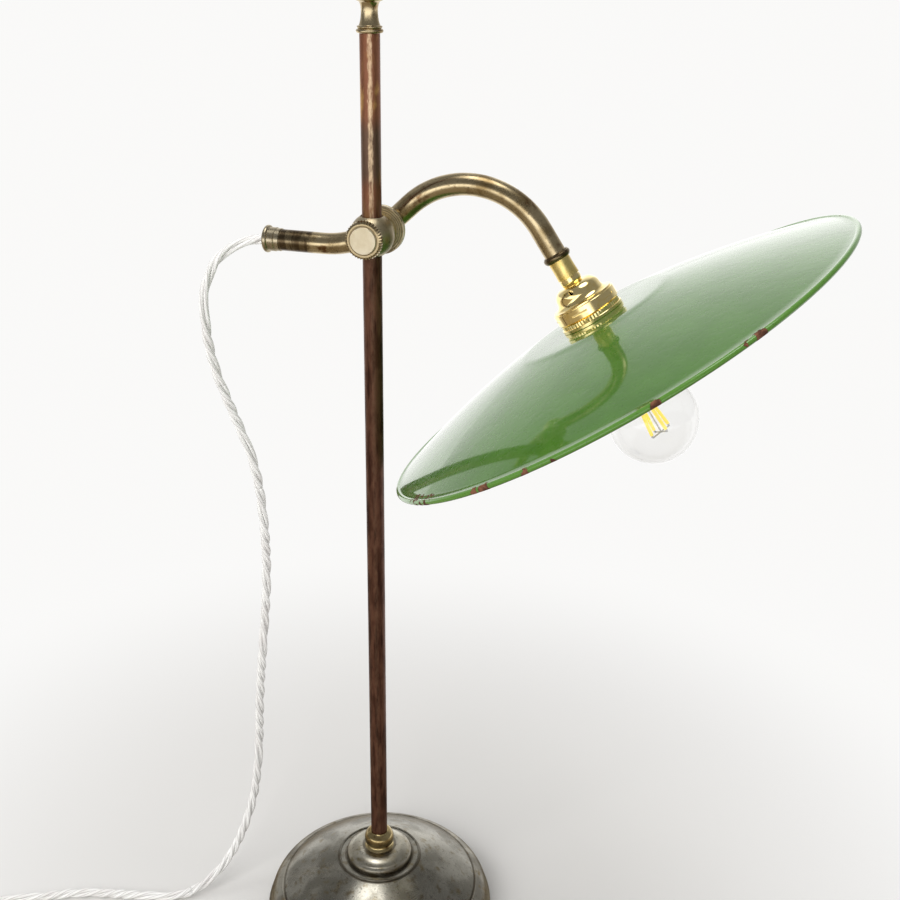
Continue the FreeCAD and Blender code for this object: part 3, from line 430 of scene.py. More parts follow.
def layCord(spec, parts):
    line = cordLine(spec)
    rings = twistedStrands(line, spec)
    sleeve = braidFinish(braidSpec)
    first = 0
    for part in parts:
        last = len(line) - 1
        if "downTo" in part:
            last = next(k for k, point in enumerate(line) if point.z < part["downTo"])
        piece = cordPiece(part["name"], rings, first, last, spec, sleeve)
        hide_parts(*part["nodes"])
        if "bend" in part:
            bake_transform(piece)
        else:
            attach(piece, *part["bodies"])
        first = last
    print("cord laid with", len(line), "stations")


layCord(cordSpec, cordParts)


# Stage and lights

stageSpec = {
    "radius": 12.0,
    "corners": 96,
    "rings": (0.16, 0.62),   # the floor fades into the backdrop between these radii
    "floorTone": (0.80, 0.79, 0.775),
    "floorInMetal": (0.35, 0.295, 0.215),
    "backMore": 0.3,
    "backSpan": (0.08, 0.34),      # behind here, metals and enamel see the backdrop
    "aheadMore": 1.0,
    "aheadSpan": (-3.0, -1.1),     # in front of here, they see a bright room
    "backdrop": (0.955, 0.95, 0.94),
    "ambient": 0.50,
    # What the metals and the enamel see: dim sides, a pale wall behind that comes round on
    # the left and is dimmer on the right, a low bright band in front, and a bright patch of
    # ceiling. The spans are parts of a unit direction.
    "sides": 0.25,
    "wall": 1.60,
    "rightSpan": (-0.05, 0.20), "rightLess": 0.45,
    "leftSpan": (-0.80, -0.30), "leftFrom": (-0.30, 0.15), "left": 0.52,
    "frontSpan": (-0.92, -0.45), "frontHigh": (0.06, 0.24), "band": 2.5, "glow": 0.15,
    "ceilingAim": (-0.03, -0.06, 0.998),
    "ceiling": 4.5, "ceilingSpan": (0.925, 0.985),
}
lampSpecs = [
    {"name": "windowLight", "place": (-0.55, -2.10, 1.75), "aim": (0.05, 0.0, 0.40),
     "size": (1.9, 1.5), "watts": 34.0, "colour": (1.0, 0.99, 0.97)},
    {"name": "sideLight", "place": (-1.70, -0.30, 1.30), "aim": (0.05, 0.0, 0.45),
     "size": (0.5, 1.0), "watts": 5.0, "colour": (1.0, 1.0, 0.99)},
    {"name": "topLight", "place": (0.30, 0.40, 2.10), "aim": (0.05, 0.0, 0.30),
     "size": (1.2, 0.6), "watts": 9.0, "colour": (1.0, 1.0, 1.0)},
]


def makeFloor(spec):
    bpy.ops.mesh.primitive_circle_add(vertices=spec["corners"], radius=spec["radius"],
                                      fill_type="NGON")
    floor = bpy.context.object
    floor.name = "stageFloor"
    finish = Finish("stageFloor")
    x, y = finish.axis("X"), finish.axis("Y")
    far = ((x * x + y * y) ** 0.5).over(*spec["rings"])
    camera, through = finish.ray("Camera"), finish.ray("Transmission")
    glossy = finish.ray("Glossy") * (1 - through)
    back = y.over(*spec["backSpan"])
    ahead = y.under(*spec["aheadSpan"])
    colour = finish.mix(glossy * (1 - back), spec["floorTone"], spec["floorInMetal"])
    matte = finish.node("ShaderNodeBsdfDiffuse", None, {0: colour})
    more = back * spec["backMore"] + ahead * spec["aheadMore"]
    glow = finish.node("ShaderNodeEmission", None, {0: spec["backdrop"], 1: glossy * more + 1.0})
    seen = finish.larger(far * finish.larger(camera, through), glossy * finish.larger(back, ahead))
    blend = finish.node("ShaderNodeMixShader", None, {0: seen, 1: matte, 2: glow})
    floor.data.materials.append(finish.end(blend))


def makeWorld(spec):
    # a pale backdrop for the camera and through glass, an even soft light on what is matt, and
    # the room that the spec describes for what shines
    world = bpy.data.worlds.new("paleRoom")
    bpy.context.scene.world = world
    room = Finish("paleRoom", world)
    x, y, z = (room.axis(which) for which in "XYZ")
    wall = room.larger(y, 0.0) ** 2 * (1 - x.over(*spec["rightSpan"]) * spec["rightLess"])
    wall = wall * spec["wall"]
    left = x.under(*spec["leftSpan"]) * y.over(*spec["leftFrom"]) * spec["left"]
    band = z.under(*spec["frontHigh"]) * spec["band"]
    front = y.under(*spec["frontSpan"]) * (band + spec["glow"])
    above = room.vector("DOT_PRODUCT", room.place, spec["ceilingAim"], out="Value")
    above = above.over(*spec["ceilingSpan"]) * spec["ceiling"]
    gloss = room.larger(room.larger(wall, left), room.larger(front + above, spec["sides"]))
    light = room.choose(room.ray("Glossy"), spec["ambient"], gloss)
    plain = room.larger(room.ray("Camera"), room.ray("Transmission"))
    ground = room.node("ShaderNodeBackground", None,
                       {0: spec["backdrop"], 1: room.choose(plain, light, 1.0)})
    room.end(ground, "ShaderNodeOutputWorld")


def makeLamp(spec):
    light = bpy.data.lights.new(spec["name"], "AREA")
    light.shape = "RECTANGLE"
    light.size, light.size_y = spec["size"]
    light.energy = spec["watts"]
    light.color = spec["colour"]
    lamp = bpy.data.objects.new(spec["name"], light)
    bpy.context.collection.objects.link(lamp)
    way = Vector(spec["aim"]) - Vector(spec["place"])
    turn = way.to_track_quat("-Z", "Y").to_matrix().to_4x4()
    lamp.matrix_world = Matrix.Translation(spec["place"]) @ turn
    lamp.visible_glossy = False


makeFloor(stageSpec)
makeWorld(stageSpec)
for spec in lampSpecs:
    makeLamp(spec)
print("stage and lights set")


# Turned pieces

def settle(piece, matrix=Matrix.Identity(4)):
    # leaves the object at the origin with its place in its mesh
    piece.data.transform(matrix @ piece.matrix_world)
    piece.matrix_world = Matrix.Identity(4)
    piece.data.update()
    return piece


weldReach = 0.000002
tip = 0.0005   # radius in millimetres of a ring that closes an end: its corners are welded


def lathed(name, outline, sides=96, smooth=50):
    # A ring is drawn out and scaled from one station (radius, height) to the next. An outline
    # that comes back to its start is welded there, and any other is closed at both ends.
    # Edges under the angle smooth, in degrees, are shaded smooth.
    radius, height = outline[0]
    bpy.ops.mesh.primitive_circle_add(vertices=sides, radius=radius, location=(0, 0, height))
    piece = bpy.context.object
    piece.name = name
    bpy.ops.object.transform_apply(location=True)
    bpy.ops.object.mode_set(mode="EDIT")
    bpy.ops.mesh.select_all(action="SELECT")
    for wide, high in outline[1:]:
        bpy.ops.mesh.extrude_region_move(TRANSFORM_OT_translate={"value": (0, 0, high - height)})
        share = wide / radius
        bpy.ops.transform.resize(value=(share, share, 1), center_override=(0, 0, high))
        radius, height = wide, high
    bpy.ops.mesh.select_all(action="SELECT")
    bpy.ops.mesh.remove_doubles(threshold=weldReach)
    bpy.ops.mesh.select_all(action="DESELECT")
    bpy.ops.mesh.select_non_manifold()
    bpy.ops.mesh.fill_holes(sides=0)
    bpy.ops.mesh.select_all(action="SELECT")
    bpy.ops.mesh.normals_make_consistent(inside=False)
    bpy.ops.object.mode_set(mode="OBJECT")
    bpy.ops.object.shade_smooth_by_angle(angle=math.radians(smooth))
    return piece


def arcStations(start, end, bulge, count):
    # stations on an arc whose middle lies beside the straight way, to the left of it if positive
    (r0, h0), (r1, h1) = start, end
    length = math.hypot(r1 - r0, h1 - h0)
    side = (-(h1 - h0) / length, (r1 - r0) / length)
    return [(r0 + (r1 - r0) * t + side[0] * bulge * 4 * t * (1 - t),
             h0 + (h1 - h0) * t + side[1] * bulge * 4 * t * (1 - t))
            for t in (k / count for k in range(1, count + 1))]


def beadStations(centre, radius, first, last, count):
    # stations round a bead, between two angles in degrees from straight out
    turns = [math.radians(first + (last - first) * k / count) for k in range(count + 1)]
    return [(centre[0] + radius * math.cos(turn), centre[1] + radius * math.sin(turn))
            for turn in turns]


def inMetres(stations, foot=0.0):
    return [(wide / 1000, foot + high / 1000) for wide, high in stations]


def standFor(piece, node, body, slotName, *finishNames):
    # gives the piece its finishes, and lets it stand for the node and ride on the body
    for name in finishNames:
        piece.data.materials.append(finishes[name])
    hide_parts(node)
    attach(piece, body)
    print(node, "made with", len(piece.data.polygons), "faces")


# Finishes

grainSpec = {
    "scale": 1600.0, "rough": 0.06, "wearRange": (0.35, 0.75),
    "relief": {"patches": 0.5, "specks": 0.35, "fine": 0.12},
}
clampAxis = ((0, 0, 0.5589), (0, 1, 0))   # the axis of the thumbscrew and of the hub
rodAxis = ((0, 0, 0), (0, 0, 1))


def patinaFinish(name, spec):
    # Old metal: patches of tarnish, streaks along the piece, specks and a fine grain. A
    # function in the spec may add the marks that only one piece has, as a mask, a colour,
    # a roughness and a height.
    finish = Finish(name)
    patchScale, *patchRange = spec["patches"]
    speckScale, *speckRange = spec["specks"]
    patches = finish.noise(patchScale, detail=5.0, stretch=spec.get("patchStretch"))
    streaks = finish.clouds(*spec["streaks"], stretch=spec.get("streakStretch"))
    specks = finish.noise(speckScale, detail=2.0)
    fine = finish.noise(grainSpec["scale"], detail=2.0)
    finish.patches, finish.fine = patches, fine
    bright = finish.mix(patches.over(*patchRange), spec["light"], spec["middle"])
    brown = finish.mix(streaks, bright, spec["stain"])
    colour = finish.mix(specks.over(*speckRange) * spec["speckShare"], brown, spec["dark"])
    worn = patches.over(*grainSpec["wearRange"]) * spec["roughMore"]
    rough = spec["rough"] + worn + fine * grainSpec["rough"]
    relief = grainSpec["relief"]
    height = patches * relief["patches"] + specks * relief["specks"] + fine * relief["fine"]
    for marks in spec.get("marks", []):
        mask, shade, polish, rise = marks(finish)
        colour = finish.mix(mask, colour, shade)
        rough = finish.choose(mask, rough, polish)
        height = height + rise
    return finish.surface(colour, rough, spec["metal"], height, spec["depth"],
                          Specular_IOR_Level=spec.get("specular", 0.5))


# a painted highlight line down the rod
highlightLineSpec = {
    "front": (0.30, -0.954, 0.0), "sideways": (0.954, 0.30, 0.0),
    "wander": 0.0022, "wanderScale": 260.0, "wanderStretch": (1, 1, 0.6),
    "wide": (0.1e-6, 3.6e-6),   # squares of the distance from the line's middle
    "facing": (0.0, 0.002),
    "breaks": (900.0, 0.20, 0.74), "breakStretch": (1, 1, 0.30),
    "heights": (0.54, 0.60), "below": 0.05, "more": 0.74,
    "tone": tone(232, 204, 168), "rough": 0.30, "relief": 0.3,
}
lacquerSpec = {
    "heights": (0.555, 0.600), "share": 0.55, "shareMore": 0.4, "rough": 0.34, "relief": 0.1,
    "spots": (70.0, 0.54, 0.66), "spotStretch": (1, 1, 0.4),
    "red": tone(136, 88, 64), "golden": tone(196, 150, 90),
    "greyFrom": (0.586, 0.600), "greyTo": (0.622, 0.636), "greyShare": 0.75,
    "grey": tone(84, 76, 66),
}
tailSpec = {
    "end": (-0.0480, -0.0440), "edgeScale": 160.0, "edgeWander": 0.014,
    "rings": (420.0, 0.44, 0.60), "ringStretch": (1, 0.12, 0.12),
    "share": 0.88, "ringLess": 0.26, "tone": tone(58, 42, 26), "rough": 0.30, "relief": 0.4,
}
faceSpec = {
    "front": (-0.01752, -0.01722), "scale": 140.0, "range": (0.4, 0.7),
    **tones((240, 230, 206), (230, 218, 190)), "rough": 0.50, "relief": 0.1,
}
knurlSpec = {
    "teeth": 40, "grooveRange": (0.35, 0.85), "toothZone": (0.0104, 0.0114),
    "ringZone": (0.0094, 0.0099), "from": (0.0088, 0.0091), "share": 0.8,
    "tone": tone(78, 60, 38), "rough": 0.5, "relief": -0.5,
}
discSpec = {
    "pitch": 0.0014, "range": (0.55, 0.95), "from": (0.0116, 0.0120), "share": 0.6,
    "tone": tone(74, 60, 40), "rough": 0.40, "relief": -1.5,
}
jointSpec = {
    # radius of each joint and how far the dirt spreads
    "joints": [(0.0266, 0.0016), (0.0327, 0.0013), (0.0125, 0.0014), (0.0774, 0.0012)],
    "fade": (0.1, 1.0), "share": 0.2, "patchShare": 0.8,
    "tone": tone(72, 62, 46), "rough": 0.45, "relief": -0.3,
}


def paintedHighlightLine(finish, spec=highlightLineSpec):
    # a painted highlight: a thin bright line down the side of the rod that faces the camera,
    # strongest above the clamp
    wander = finish.noise(spec["wanderScale"], detail=4.0, stretch=spec["wanderStretch"]) - 0.5
    front = finish.along((0, 0, 0), spec["front"])
    sideways = finish.along((0, 0, 0), spec["sideways"]) + wander * spec["wander"]
    line = (sideways * sideways).under(*spec["wide"]) * front.over(*spec["facing"])
    line = line * finish.clouds(*spec["breaks"], detail=5.0, stretch=spec["breakStretch"])
    high = finish.axis("Z").over(*spec["heights"]) * spec["more"] + spec["below"]
    return line * high, spec["tone"], spec["rough"], line * spec["relief"]


def rustyTop(finish, spec=lacquerSpec):
    # above the clamp the lacquer is redder, with golden spots and a grey band
    z = finish.axis("Z")
    spots = finish.clouds(*spec["spots"], detail=4.0, stretch=spec["spotStretch"])
    shade = finish.mix(spots, spec["red"], spec["golden"])
    grey = z.over(*spec["greyFrom"]) * z.under(*spec["greyTo"]) * spec["greyShare"]
    shade = finish.mix(grey, shade, spec["grey"])
    mask = z.over(*spec["heights"]) * (spec["share"] + finish.fine * spec["shareMore"])
    return mask, shade, spec["rough"], finish.fine * spec["relief"]


def darkTail(finish, spec=tailSpec):
    # the end of the tail is nearly black, with uneven rings where something was wound round it
    rings = finish.clouds(*spec["rings"], stretch=spec["ringStretch"])
    edge = finish.noise(spec["edgeScale"]) * spec["edgeWander"]
    mask = (finish.axis("X") + edge).under(*spec["end"])
    mask = mask * (spec["share"] - rings * spec["ringLess"])
    return mask, spec["tone"], spec["rough"], rings * mask * spec["relief"]


def paleFace(finish, spec=faceSpec):
    # the screw's raised face is smooth and pale
    clouds = finish.noise(spec["scale"])
    shade = finish.mix(clouds.over(*spec["range"]), spec["light"], spec["middle"])
    return finish.axis("Y").under(*spec["front"]), shade, spec["rough"], clouds * spec["relief"]


def darkKnurl(finish, spec=knurlSpec):
    # darker in the grooves between the teeth, and in a ring round the raised face
    reach = finish.around(*clampAxis)
    angle = finish.maths("ARCTAN2", finish.axis("Z") - clampAxis[0][2], finish.axis("X"))
    groove = finish.wave(angle, 2 * math.pi / spec["teeth"]).over(*spec["grooveRange"])
    ring = reach.under(*spec["ringZone"]) * spec["share"]
    mask = finish.larger(groove * reach.over(*spec["toothZone"]), ring)
    mask = mask * reach.over(*spec["from"]) * spec["share"]
    return mask, spec["tone"], spec["rough"], mask * spec["relief"]


def turnedRings(finish, spec=discSpec):
    # fine rings turned into the disc
    reach = finish.around(*clampAxis)
    rings = finish.wave(reach, spec["pitch"]).over(*spec["range"]) * reach.over(*spec["from"])
    return rings * spec["share"], spec["tone"], spec["rough"], rings * spec["relief"]


def grimyJoints(finish, spec=jointSpec):
    # dirt where one turned piece meets the next
    reach = finish.around(*rodAxis)
    mask = 0
    for radius, spread in spec["joints"]:
        near = (reach - radius) / spread
        mask = finish.larger(mask, (near * near).under(*spec["fade"]))
    mask = mask * (spec["share"] + finish.patches * spec["patchShare"])
    return mask, spec["tone"], spec["rough"], mask * spec["relief"]


# patches, streaks and specks: the scale of the noise, and the range over which it shows
brassMetal = {
    "patches": (48.0, 0.42, 0.68), "streaks": (85.0, 0.60, 0.74),
    "specks": (620.0, 0.60, 0.76), "speckShare": 0.6,
    **tones((192, 175, 140), (142, 121, 84), (112, 80, 48), (48, 36, 22)),
    "rough": 0.18, "roughMore": 0.12, "metal": 1.0, "depth": 0.00006,
}
pewterMetal = {
    "patches": (46.0, 0.38, 0.62), "streaks": (130.0, 0.52, 0.74),
    "streakStretch": (1, 1, 2), "specks": (560.0, 0.58, 0.74), "speckShare": 0.6,
    **tones((154, 151, 141), (124, 121, 111), (118, 108, 86), (60, 56, 48)),
    "rough": 0.17, "roughMore": 0.14, "metal": 1.0, "depth": 0.00010, "marks": [grimyJoints],
}
patinas = {
    "rod": {
        "patches": (150.0, 0.40, 0.66), "patchStretch": (1, 1, 0.35),
        "streaks": (320.0, 0.44, 0.70), "streakStretch": (1, 1, 0.12),
        "specks": (900.0, 0.60, 0.80), "speckShare": 0.5,
        **tones((104, 70, 54), (78, 48, 34), (56, 28, 18), (34, 20, 14)),
        "rough": 0.38, "roughMore": 0.16, "metal": 0.55, "specular": 0.25, "depth": 0.00010,
        "marks": [rustyTop, paintedHighlightLine]},
    "agedBrass": brassMetal,
    "arm": {**brassMetal, "marks": [darkTail]},
    "screw": {**brassMetal, "marks": [darkKnurl, paleFace]},
    "hub": {
        **brassMetal, **tones((246, 232, 198), (212, 195, 156)), "rough": 0.30,
        "marks": [turnedRings]},
    "ferrule": {
        **brassMetal, **tones((188, 176, 150), (142, 129, 103), (116, 98, 70)), "rough": 0.25},
    "neckBrass": {
        **brassMetal, **tones((196, 178, 132), (132, 110, 68), (104, 76, 40)),
        "rough": 0.09, "depth": 0.00012, "marks": [grimyJoints]},
    "ball": {
        **brassMetal, "patches": (60.0, 0.38, 0.70), "streaks": (200.0, 0.60, 0.74),
        "specks": (900.0, 0.60, 0.76), **tones((186, 172, 142), (142, 126, 96), (108, 90, 62)),
        "rough": 0.34, "depth": 0.00010},
    "pewter": pewterMetal,
    "collar": {
        **pewterMetal, **tones((194, 190, 176), (170, 164, 148), (150, 138, 110)),
        "rough": 0.24},
    "castIron": {
        **pewterMetal, "specks": (800.0, 0.58, 0.74),
        **tones((172, 168, 156), (136, 132, 122), (128, 114, 88)),
        "rough": 0.28, "depth": 0.00014},
    "darkBrass": {
        **brassMetal, "patches": (90.0, 0.36, 0.66), "streaks": (300.0, 0.60, 0.74),
        "specks": (800.0, 0.60, 0.76), "speckShare": 0.8,
        **tones((140, 126, 98), (92, 76, 52), (64, 50, 34), (30, 24, 18)),
        "rough": 0.22, "depth": 0.00014},
    "steel": {
        **brassMetal, "patches": (120.0, 0.42, 0.68), "streaks": (400.0, 0.60, 0.74),
        "specks": (900.0, 0.60, 0.76), "speckShare": 0.4,
        **tones((206, 206, 204), (182, 182, 180), (160, 154, 144), (110, 104, 96)),
        "depth": 0.00005},
    "polishedBrass": {
        **brassMetal, "patches": (160.0, 0.45, 0.75), "streaks": (500.0, 0.66, 0.84),
        "specks": (1500.0, 0.70, 0.82), "speckShare": 0.25,
        **tones((255, 234, 170), (250, 220, 138), (228, 182, 92), (150, 110, 50)),
        "rough": 0.08, "roughMore": 0.05, "depth": 0.000015},
    "satinBrass": {
        **brassMetal, "patches": (120.0, 0.45, 0.75), "streaks": (380.0, 0.62, 0.84),
        "speckShare": 0.2,
        **tones((250, 226, 150), (240, 206, 116), (222, 176, 84), (150, 110, 50)),
        "rough": 0.30, "roughMore": 0.08, "depth": 0.00002},
}
metals = {name: patinaFinish(name, spec) for name, spec in patinas.items()}


plainSpec = {"range": (0.35, 0.7), "grainTimes": 12, "grainRough": 0.12, "cloudRelief": 0.3,
             "depth": 0.00004}


def plainFinish(name, light, dark, rough, scale, spec=plainSpec, **more):
    # moulded or sprayed materials: two near tones, a fine grain and a little relief
    finish = Finish(name)
    clouds = finish.noise(scale, detail=4.0)
    grain = finish.noise(scale * spec["grainTimes"], detail=2.0)
    colour = finish.mix(clouds.over(*spec["range"]), tone(*light), tone(*dark))
    return finish.surface(colour, rough + grain * spec["grainRough"], 0.0,
                          clouds * spec["cloudRelief"] + grain, spec["depth"], **more)


def enamelFinish(name, spec):
    # Thick glassy enamel with a slightly rippled skin. Along the rim it is thinner and lighter,
    # and chipped to rusty steel at the places listed.
    finish = Finish(name)
    ripple = finish.noise(spec["rippleScale"], detail=2.0)
    dimples = finish.noise(spec["dimpleScale"], detail=2.0)
    pits = finish.clouds(*spec["pits"], detail=1.0)
    colour = finish.mix(ripple.over(*spec["rippleRange"]), spec["light"], spec["middle"])
    wide = finish.around(spec["foot"], spec["axis"])
    rim = wide.over(*spec["rimZone"])
    colour = finish.mix(rim, colour, spec["rimTone"])
    # painted shade: the lower side of the bead is darkened
    under = rim * finish.along(spec["foot"], spec["axis"]).over(*spec["paintedShadeZone"])
    colour = finish.mix(under * spec["paintedShadeShare"], colour, spec["paintedShadeTone"])
    jitter = finish.noise(spec["raggedScale"], detail=4.0, rough=0.5, out="Color")
    jitter = finish.vector("SUBTRACT", jitter, (0.5, 0.5, 0.5))
    jitter = finish.vector("MULTIPLY", jitter, (spec["ragged"],) * 3)
    torn = finish.vector("ADD", finish.place, jitter)
    flaws = rim * finish.clouds(*spec["flaws"])
    for point, reach in spec["chips"]:
        flaws = finish.larger(flaws, finish.near(torn, point, reach))
    grit = finish.noise(spec["gritScale"], detail=5.0)
    edge = wide.over(*spec["wornZone"])
    for point, reach, share in spec["worn"]:
        spots = grit.over(1 - share, 1 - share + spec["wornSoft"])
        flaws = finish.larger(flaws, finish.near(torn, point, reach) * spots * edge)
    flaws = flaws.over(*spec["flawEdge"])
    rust = finish.mix(grit.over(*spec["rustRange"]), spec["rust"], spec["rustDark"])
    colour = finish.mix(pits * spec["pitShare"], colour, spec["pit"])
    relief = spec["relief"]
    height = (ripple * relief["ripple"] + dimples * relief["dimples"]
              - pits * relief["pits"] - flaws * relief["flaws"])
    rough = finish.choose(flaws, spec["rough"] + dimples * spec["roughMore"], spec["rustRough"])
    return finish.surface(finish.mix(flaws, colour, rust), rough, 0.0, height, spec["depth"],
                          Specular_IOR_Level=0.12, Coat_Weight=1 - flaws, Coat_Roughness=0.05)


glassSpec = {
    "clear": (0.985, 0.985, 0.98), "edge": (0.60, 0.59, 0.55), "edgeRange": (0.60, 1.0),
    "haze": (40.0, 0.5, 0.8), "hazeRough": 0.02,
}
glowSpec = {"scale": 900.0, "range": (0.4, 0.7), **tones((255, 238, 116), (255, 224, 84)),
            "rough": 0.5, "depth": 0.00005}


def glassFinish(name, spec=glassSpec):
    # clear, with a painted grey edge: slightly grey where it is seen from the side, standing in
    # for the dark outline that reflection gives glass
    finish = Finish(name)
    haze = finish.clouds(*spec["haze"])
    edge = finish.node("ShaderNodeLayerWeight", None, {"Blend": 0.5}, out="Facing")
    colour = finish.mix(edge.over(*spec["edgeRange"]), spec["clear"], spec["edge"])
    return finish.surface(colour, haze * spec["hazeRough"], Transmission_Weight=1.0, IOR=1.47)


def glowFinish(name, spec=glowSpec):
    # the yellow coating of a stick, with a painted glow: it gives off a faint light of its own
    # though it is no lamp
    finish = Finish(name)
    beads = finish.noise(spec["scale"], detail=1.0)
    colour = finish.mix(beads.over(*spec["range"]), spec["light"], spec["middle"])
    return finish.surface(colour, spec["rough"], 0.0, beads, spec["depth"],
                          Emission_Strength=0.55, Emission_Color=tone(255, 226, 92))


holder = {
    "foot": (0.104297, 0.0275, 0.565129),   # the end of the crook, where the holder's axis starts
    "axis": (0.56208, 0.0, -0.82708),
}
enamelSpec = {
    **holder,
    "rippleScale": 30.0, "rippleRange": (0.35, 0.7), "dimpleScale": 210.0,
    "pits": (900.0, 0.70, 0.78), "pitShare": 0.5, "pit": tone(46, 54, 40),
    "flaws": (150.0, 0.70, 0.74), "flawEdge": (0.35, 0.6),
    "raggedScale": 260.0, "ragged": 0.006,   # how ragged the chips' edges are
    "gritScale": 230.0, "rustRange": (0.4, 0.62),
    "rust": tone(132, 90, 68), "rustDark": tone(84, 56, 44), "rustRough": 0.75,
    "rough": 0.24, "roughMore": 0.08, "depth": 0.0008,
    "relief": {"ripple": 0.8, "dimples": 0.32, "pits": 0.1, "flaws": 0.5},
    # painted shade along the lower side of the bead
    "paintedShadeTone": tone(38, 56, 26), "paintedShadeZone": (0.0965, 0.0976), "paintedShadeShare": 0.75,
    # places on the rim and how far each chip reaches
    "chips": [((0.2504, -0.0992, 0.5478), 0.0052), ((0.2440, -0.1045, 0.5440), 0.0030),
              ((0.2028, -0.1323, 0.5154), 0.0042), ((0.1367, -0.1389, 0.4705), 0.0040),
              ((0.1126, -0.1316, 0.4541), 0.0050), ((0.1060, -0.1290, 0.4500), 0.0034),
              ((0.1525, -0.1408, 0.4812), 0.0024)],
    # stretches near the rim that are worn in spots, with the share that is worn
    "worn": [((0.0640, -0.0960, 0.4210), 0.0200, 0.50),
             ((0.2975, 0.0300, 0.5798), 0.0160, 0.30)],
    "wornZone": (0.1610, 0.1640), "wornSoft": 0.04,
}
greenEnamel = {**tones((70, 119, 32), (63, 110, 27)),
               "rimTone": tone(88, 136, 52), "rimZone": (0.1656, 0.1662)}
whiteEnamel = {**tones((238, 237, 230), (230, 228, 219)),
               "rimTone": tone(226, 224, 214), "rimZone": (0.1640, 0.1660)}
others = {
    "felt": plainFinish("felt", (54, 60, 50), (40, 46, 38), 0.8, 90.0, Sheen_Weight=0.4),
    "tie": plainFinish("tie", (44, 44, 46), (34, 34, 36), 0.4, 60.0),
    "plugMoulding": plainFinish("plugMoulding", (242, 240, 234), (232, 229, 221), 0.24, 50.0),
    "nylon": plainFinish("nylon", (226, 226, 222), (208, 208, 204), 0.36, 120.0),
    "lead": plainFinish("lead", (150, 110, 70), (132, 96, 60), 0.4, 120.0),
    "block": plainFinish("block", (58, 40, 30), (44, 30, 24), 0.3, 80.0),
    "enamel": enamelFinish("enamel", {**enamelSpec, **greenEnamel}),
    "whiteEnamel": enamelFinish("whiteEnamel", {**enamelSpec, **whiteEnamel}),
    "bulbGlass": glassFinish("bulbGlass"),
    "filament": glowFinish("filament"),
}
finishes = {**metals, **others}
slotFinish = {
    "cast_base": "castIron", "base_metal": "pewter", "rod_metal": "rod",
    "aged_brass": "agedBrass", "polished_brass": "polishedBrass", "dark_brass": "darkBrass",
    "bulb_glass": "bulbGlass", "bulb_metal": "steel", "moulded_block": "block",
    "braid": "steel", "lead_insulation": "lead", "plug_moulding": "plugMoulding",
}
nodeFinish = {"clamp_ball": "ball", "arm_tube": "arm", "thumbscrew": "screw",
              "swivel_hub": "hub", "tail_ferrule": "ferrule", "neck_collar": "neckBrass",
              "base_collar": "collar", "coupler": "satinBrass"}
for part in frame["record"]["subparts"]:
    node = frame["nodes"][part["node"]]
    slotName = part["material_slot"]
    finish = finishes[nodeFinish.get(part["node"], slotFinish.get(slotName, slotName))]
    if node.material_slots:
        for slot in node.material_slots:
            slot.material = finish
    else:
        node.data.materials.append(finish)
print("finishes given to", len(frame["nodes"]), "nodes")


# Shade

holderPlace = (Matrix.Translation(holder["foot"])
               @ Vector(holder["axis"]).to_track_quat("Z", "Y").to_matrix().to_4x4())
shadeSpec = {
    "hole": 0.0146,
    "crown": (0.0500, 0.0666),
    "knee": (0.0570, 0.0678),
    "edge": (0.1660, 0.0945),
    "flat": 0.030,       # a ring that divides the flat top
    "rise": 0.0020,      # how far the cone is domed
    "coneStations": 26,
    "kneeRise": 0.00015,
    "kneeStations": 5,
    "sheet": 0.0009,
    "inward": (0.3, 1 / 3),   # shares of the sheet by which the edge and the knee lie inside
    "beadCentre": (0.1677, 0.0959),
    "bead": 0.00185,
    "beadTurn": (-125, 150, 22),
    "whiteWithin": 0.16659,   # the inside is white from just behind the bead
    "whiteSlope": 0.2,
    "sides": 256,
    "smooth": 40,
}


def makeShade(spec):
    # out over the top, round the bead and back along the inside to the hole
    hole, flat, sheet = spec["hole"], spec["flat"], spec["sheet"]
    crown, knee, edge = spec["crown"], spec["knee"], spec["edge"]
    high, low = crown[1], crown[1] + sheet
    outside = [(hole, high), (flat, high), crown]
    outside += arcStations(crown, knee, -spec["kneeRise"], spec["kneeStations"])
    outside += arcStations(knee, edge, -spec["rise"], spec["coneStations"])
    bead = beadStations(spec["beadCentre"], spec["bead"], *spec["beadTurn"])
    back, kneeBack = ((wide - sheet * share, height + sheet)
                      for (wide, height), share in zip((edge, knee), spec["inward"]))
    inside = [back] + arcStations(back, kneeBack, spec["rise"], spec["coneStations"])
    inside += [(crown[0], low), (flat, low), (hole, low), (hole, high)]
    piece = lathed("shadePiece", outside + bead + inside, spec["sides"], spec["smooth"])
    for face in piece.data.polygons:
        wide = math.hypot(face.center.x, face.center.y)
        if face.normal.z > spec["whiteSlope"] and wide < spec["whiteWithin"]:
            face.material_index = 1
    return settle(piece, holderPlace)


standFor(makeShade(shadeSpec), "shade", "arm", "enamel", "enamel", "whiteEnamel")


# Finial

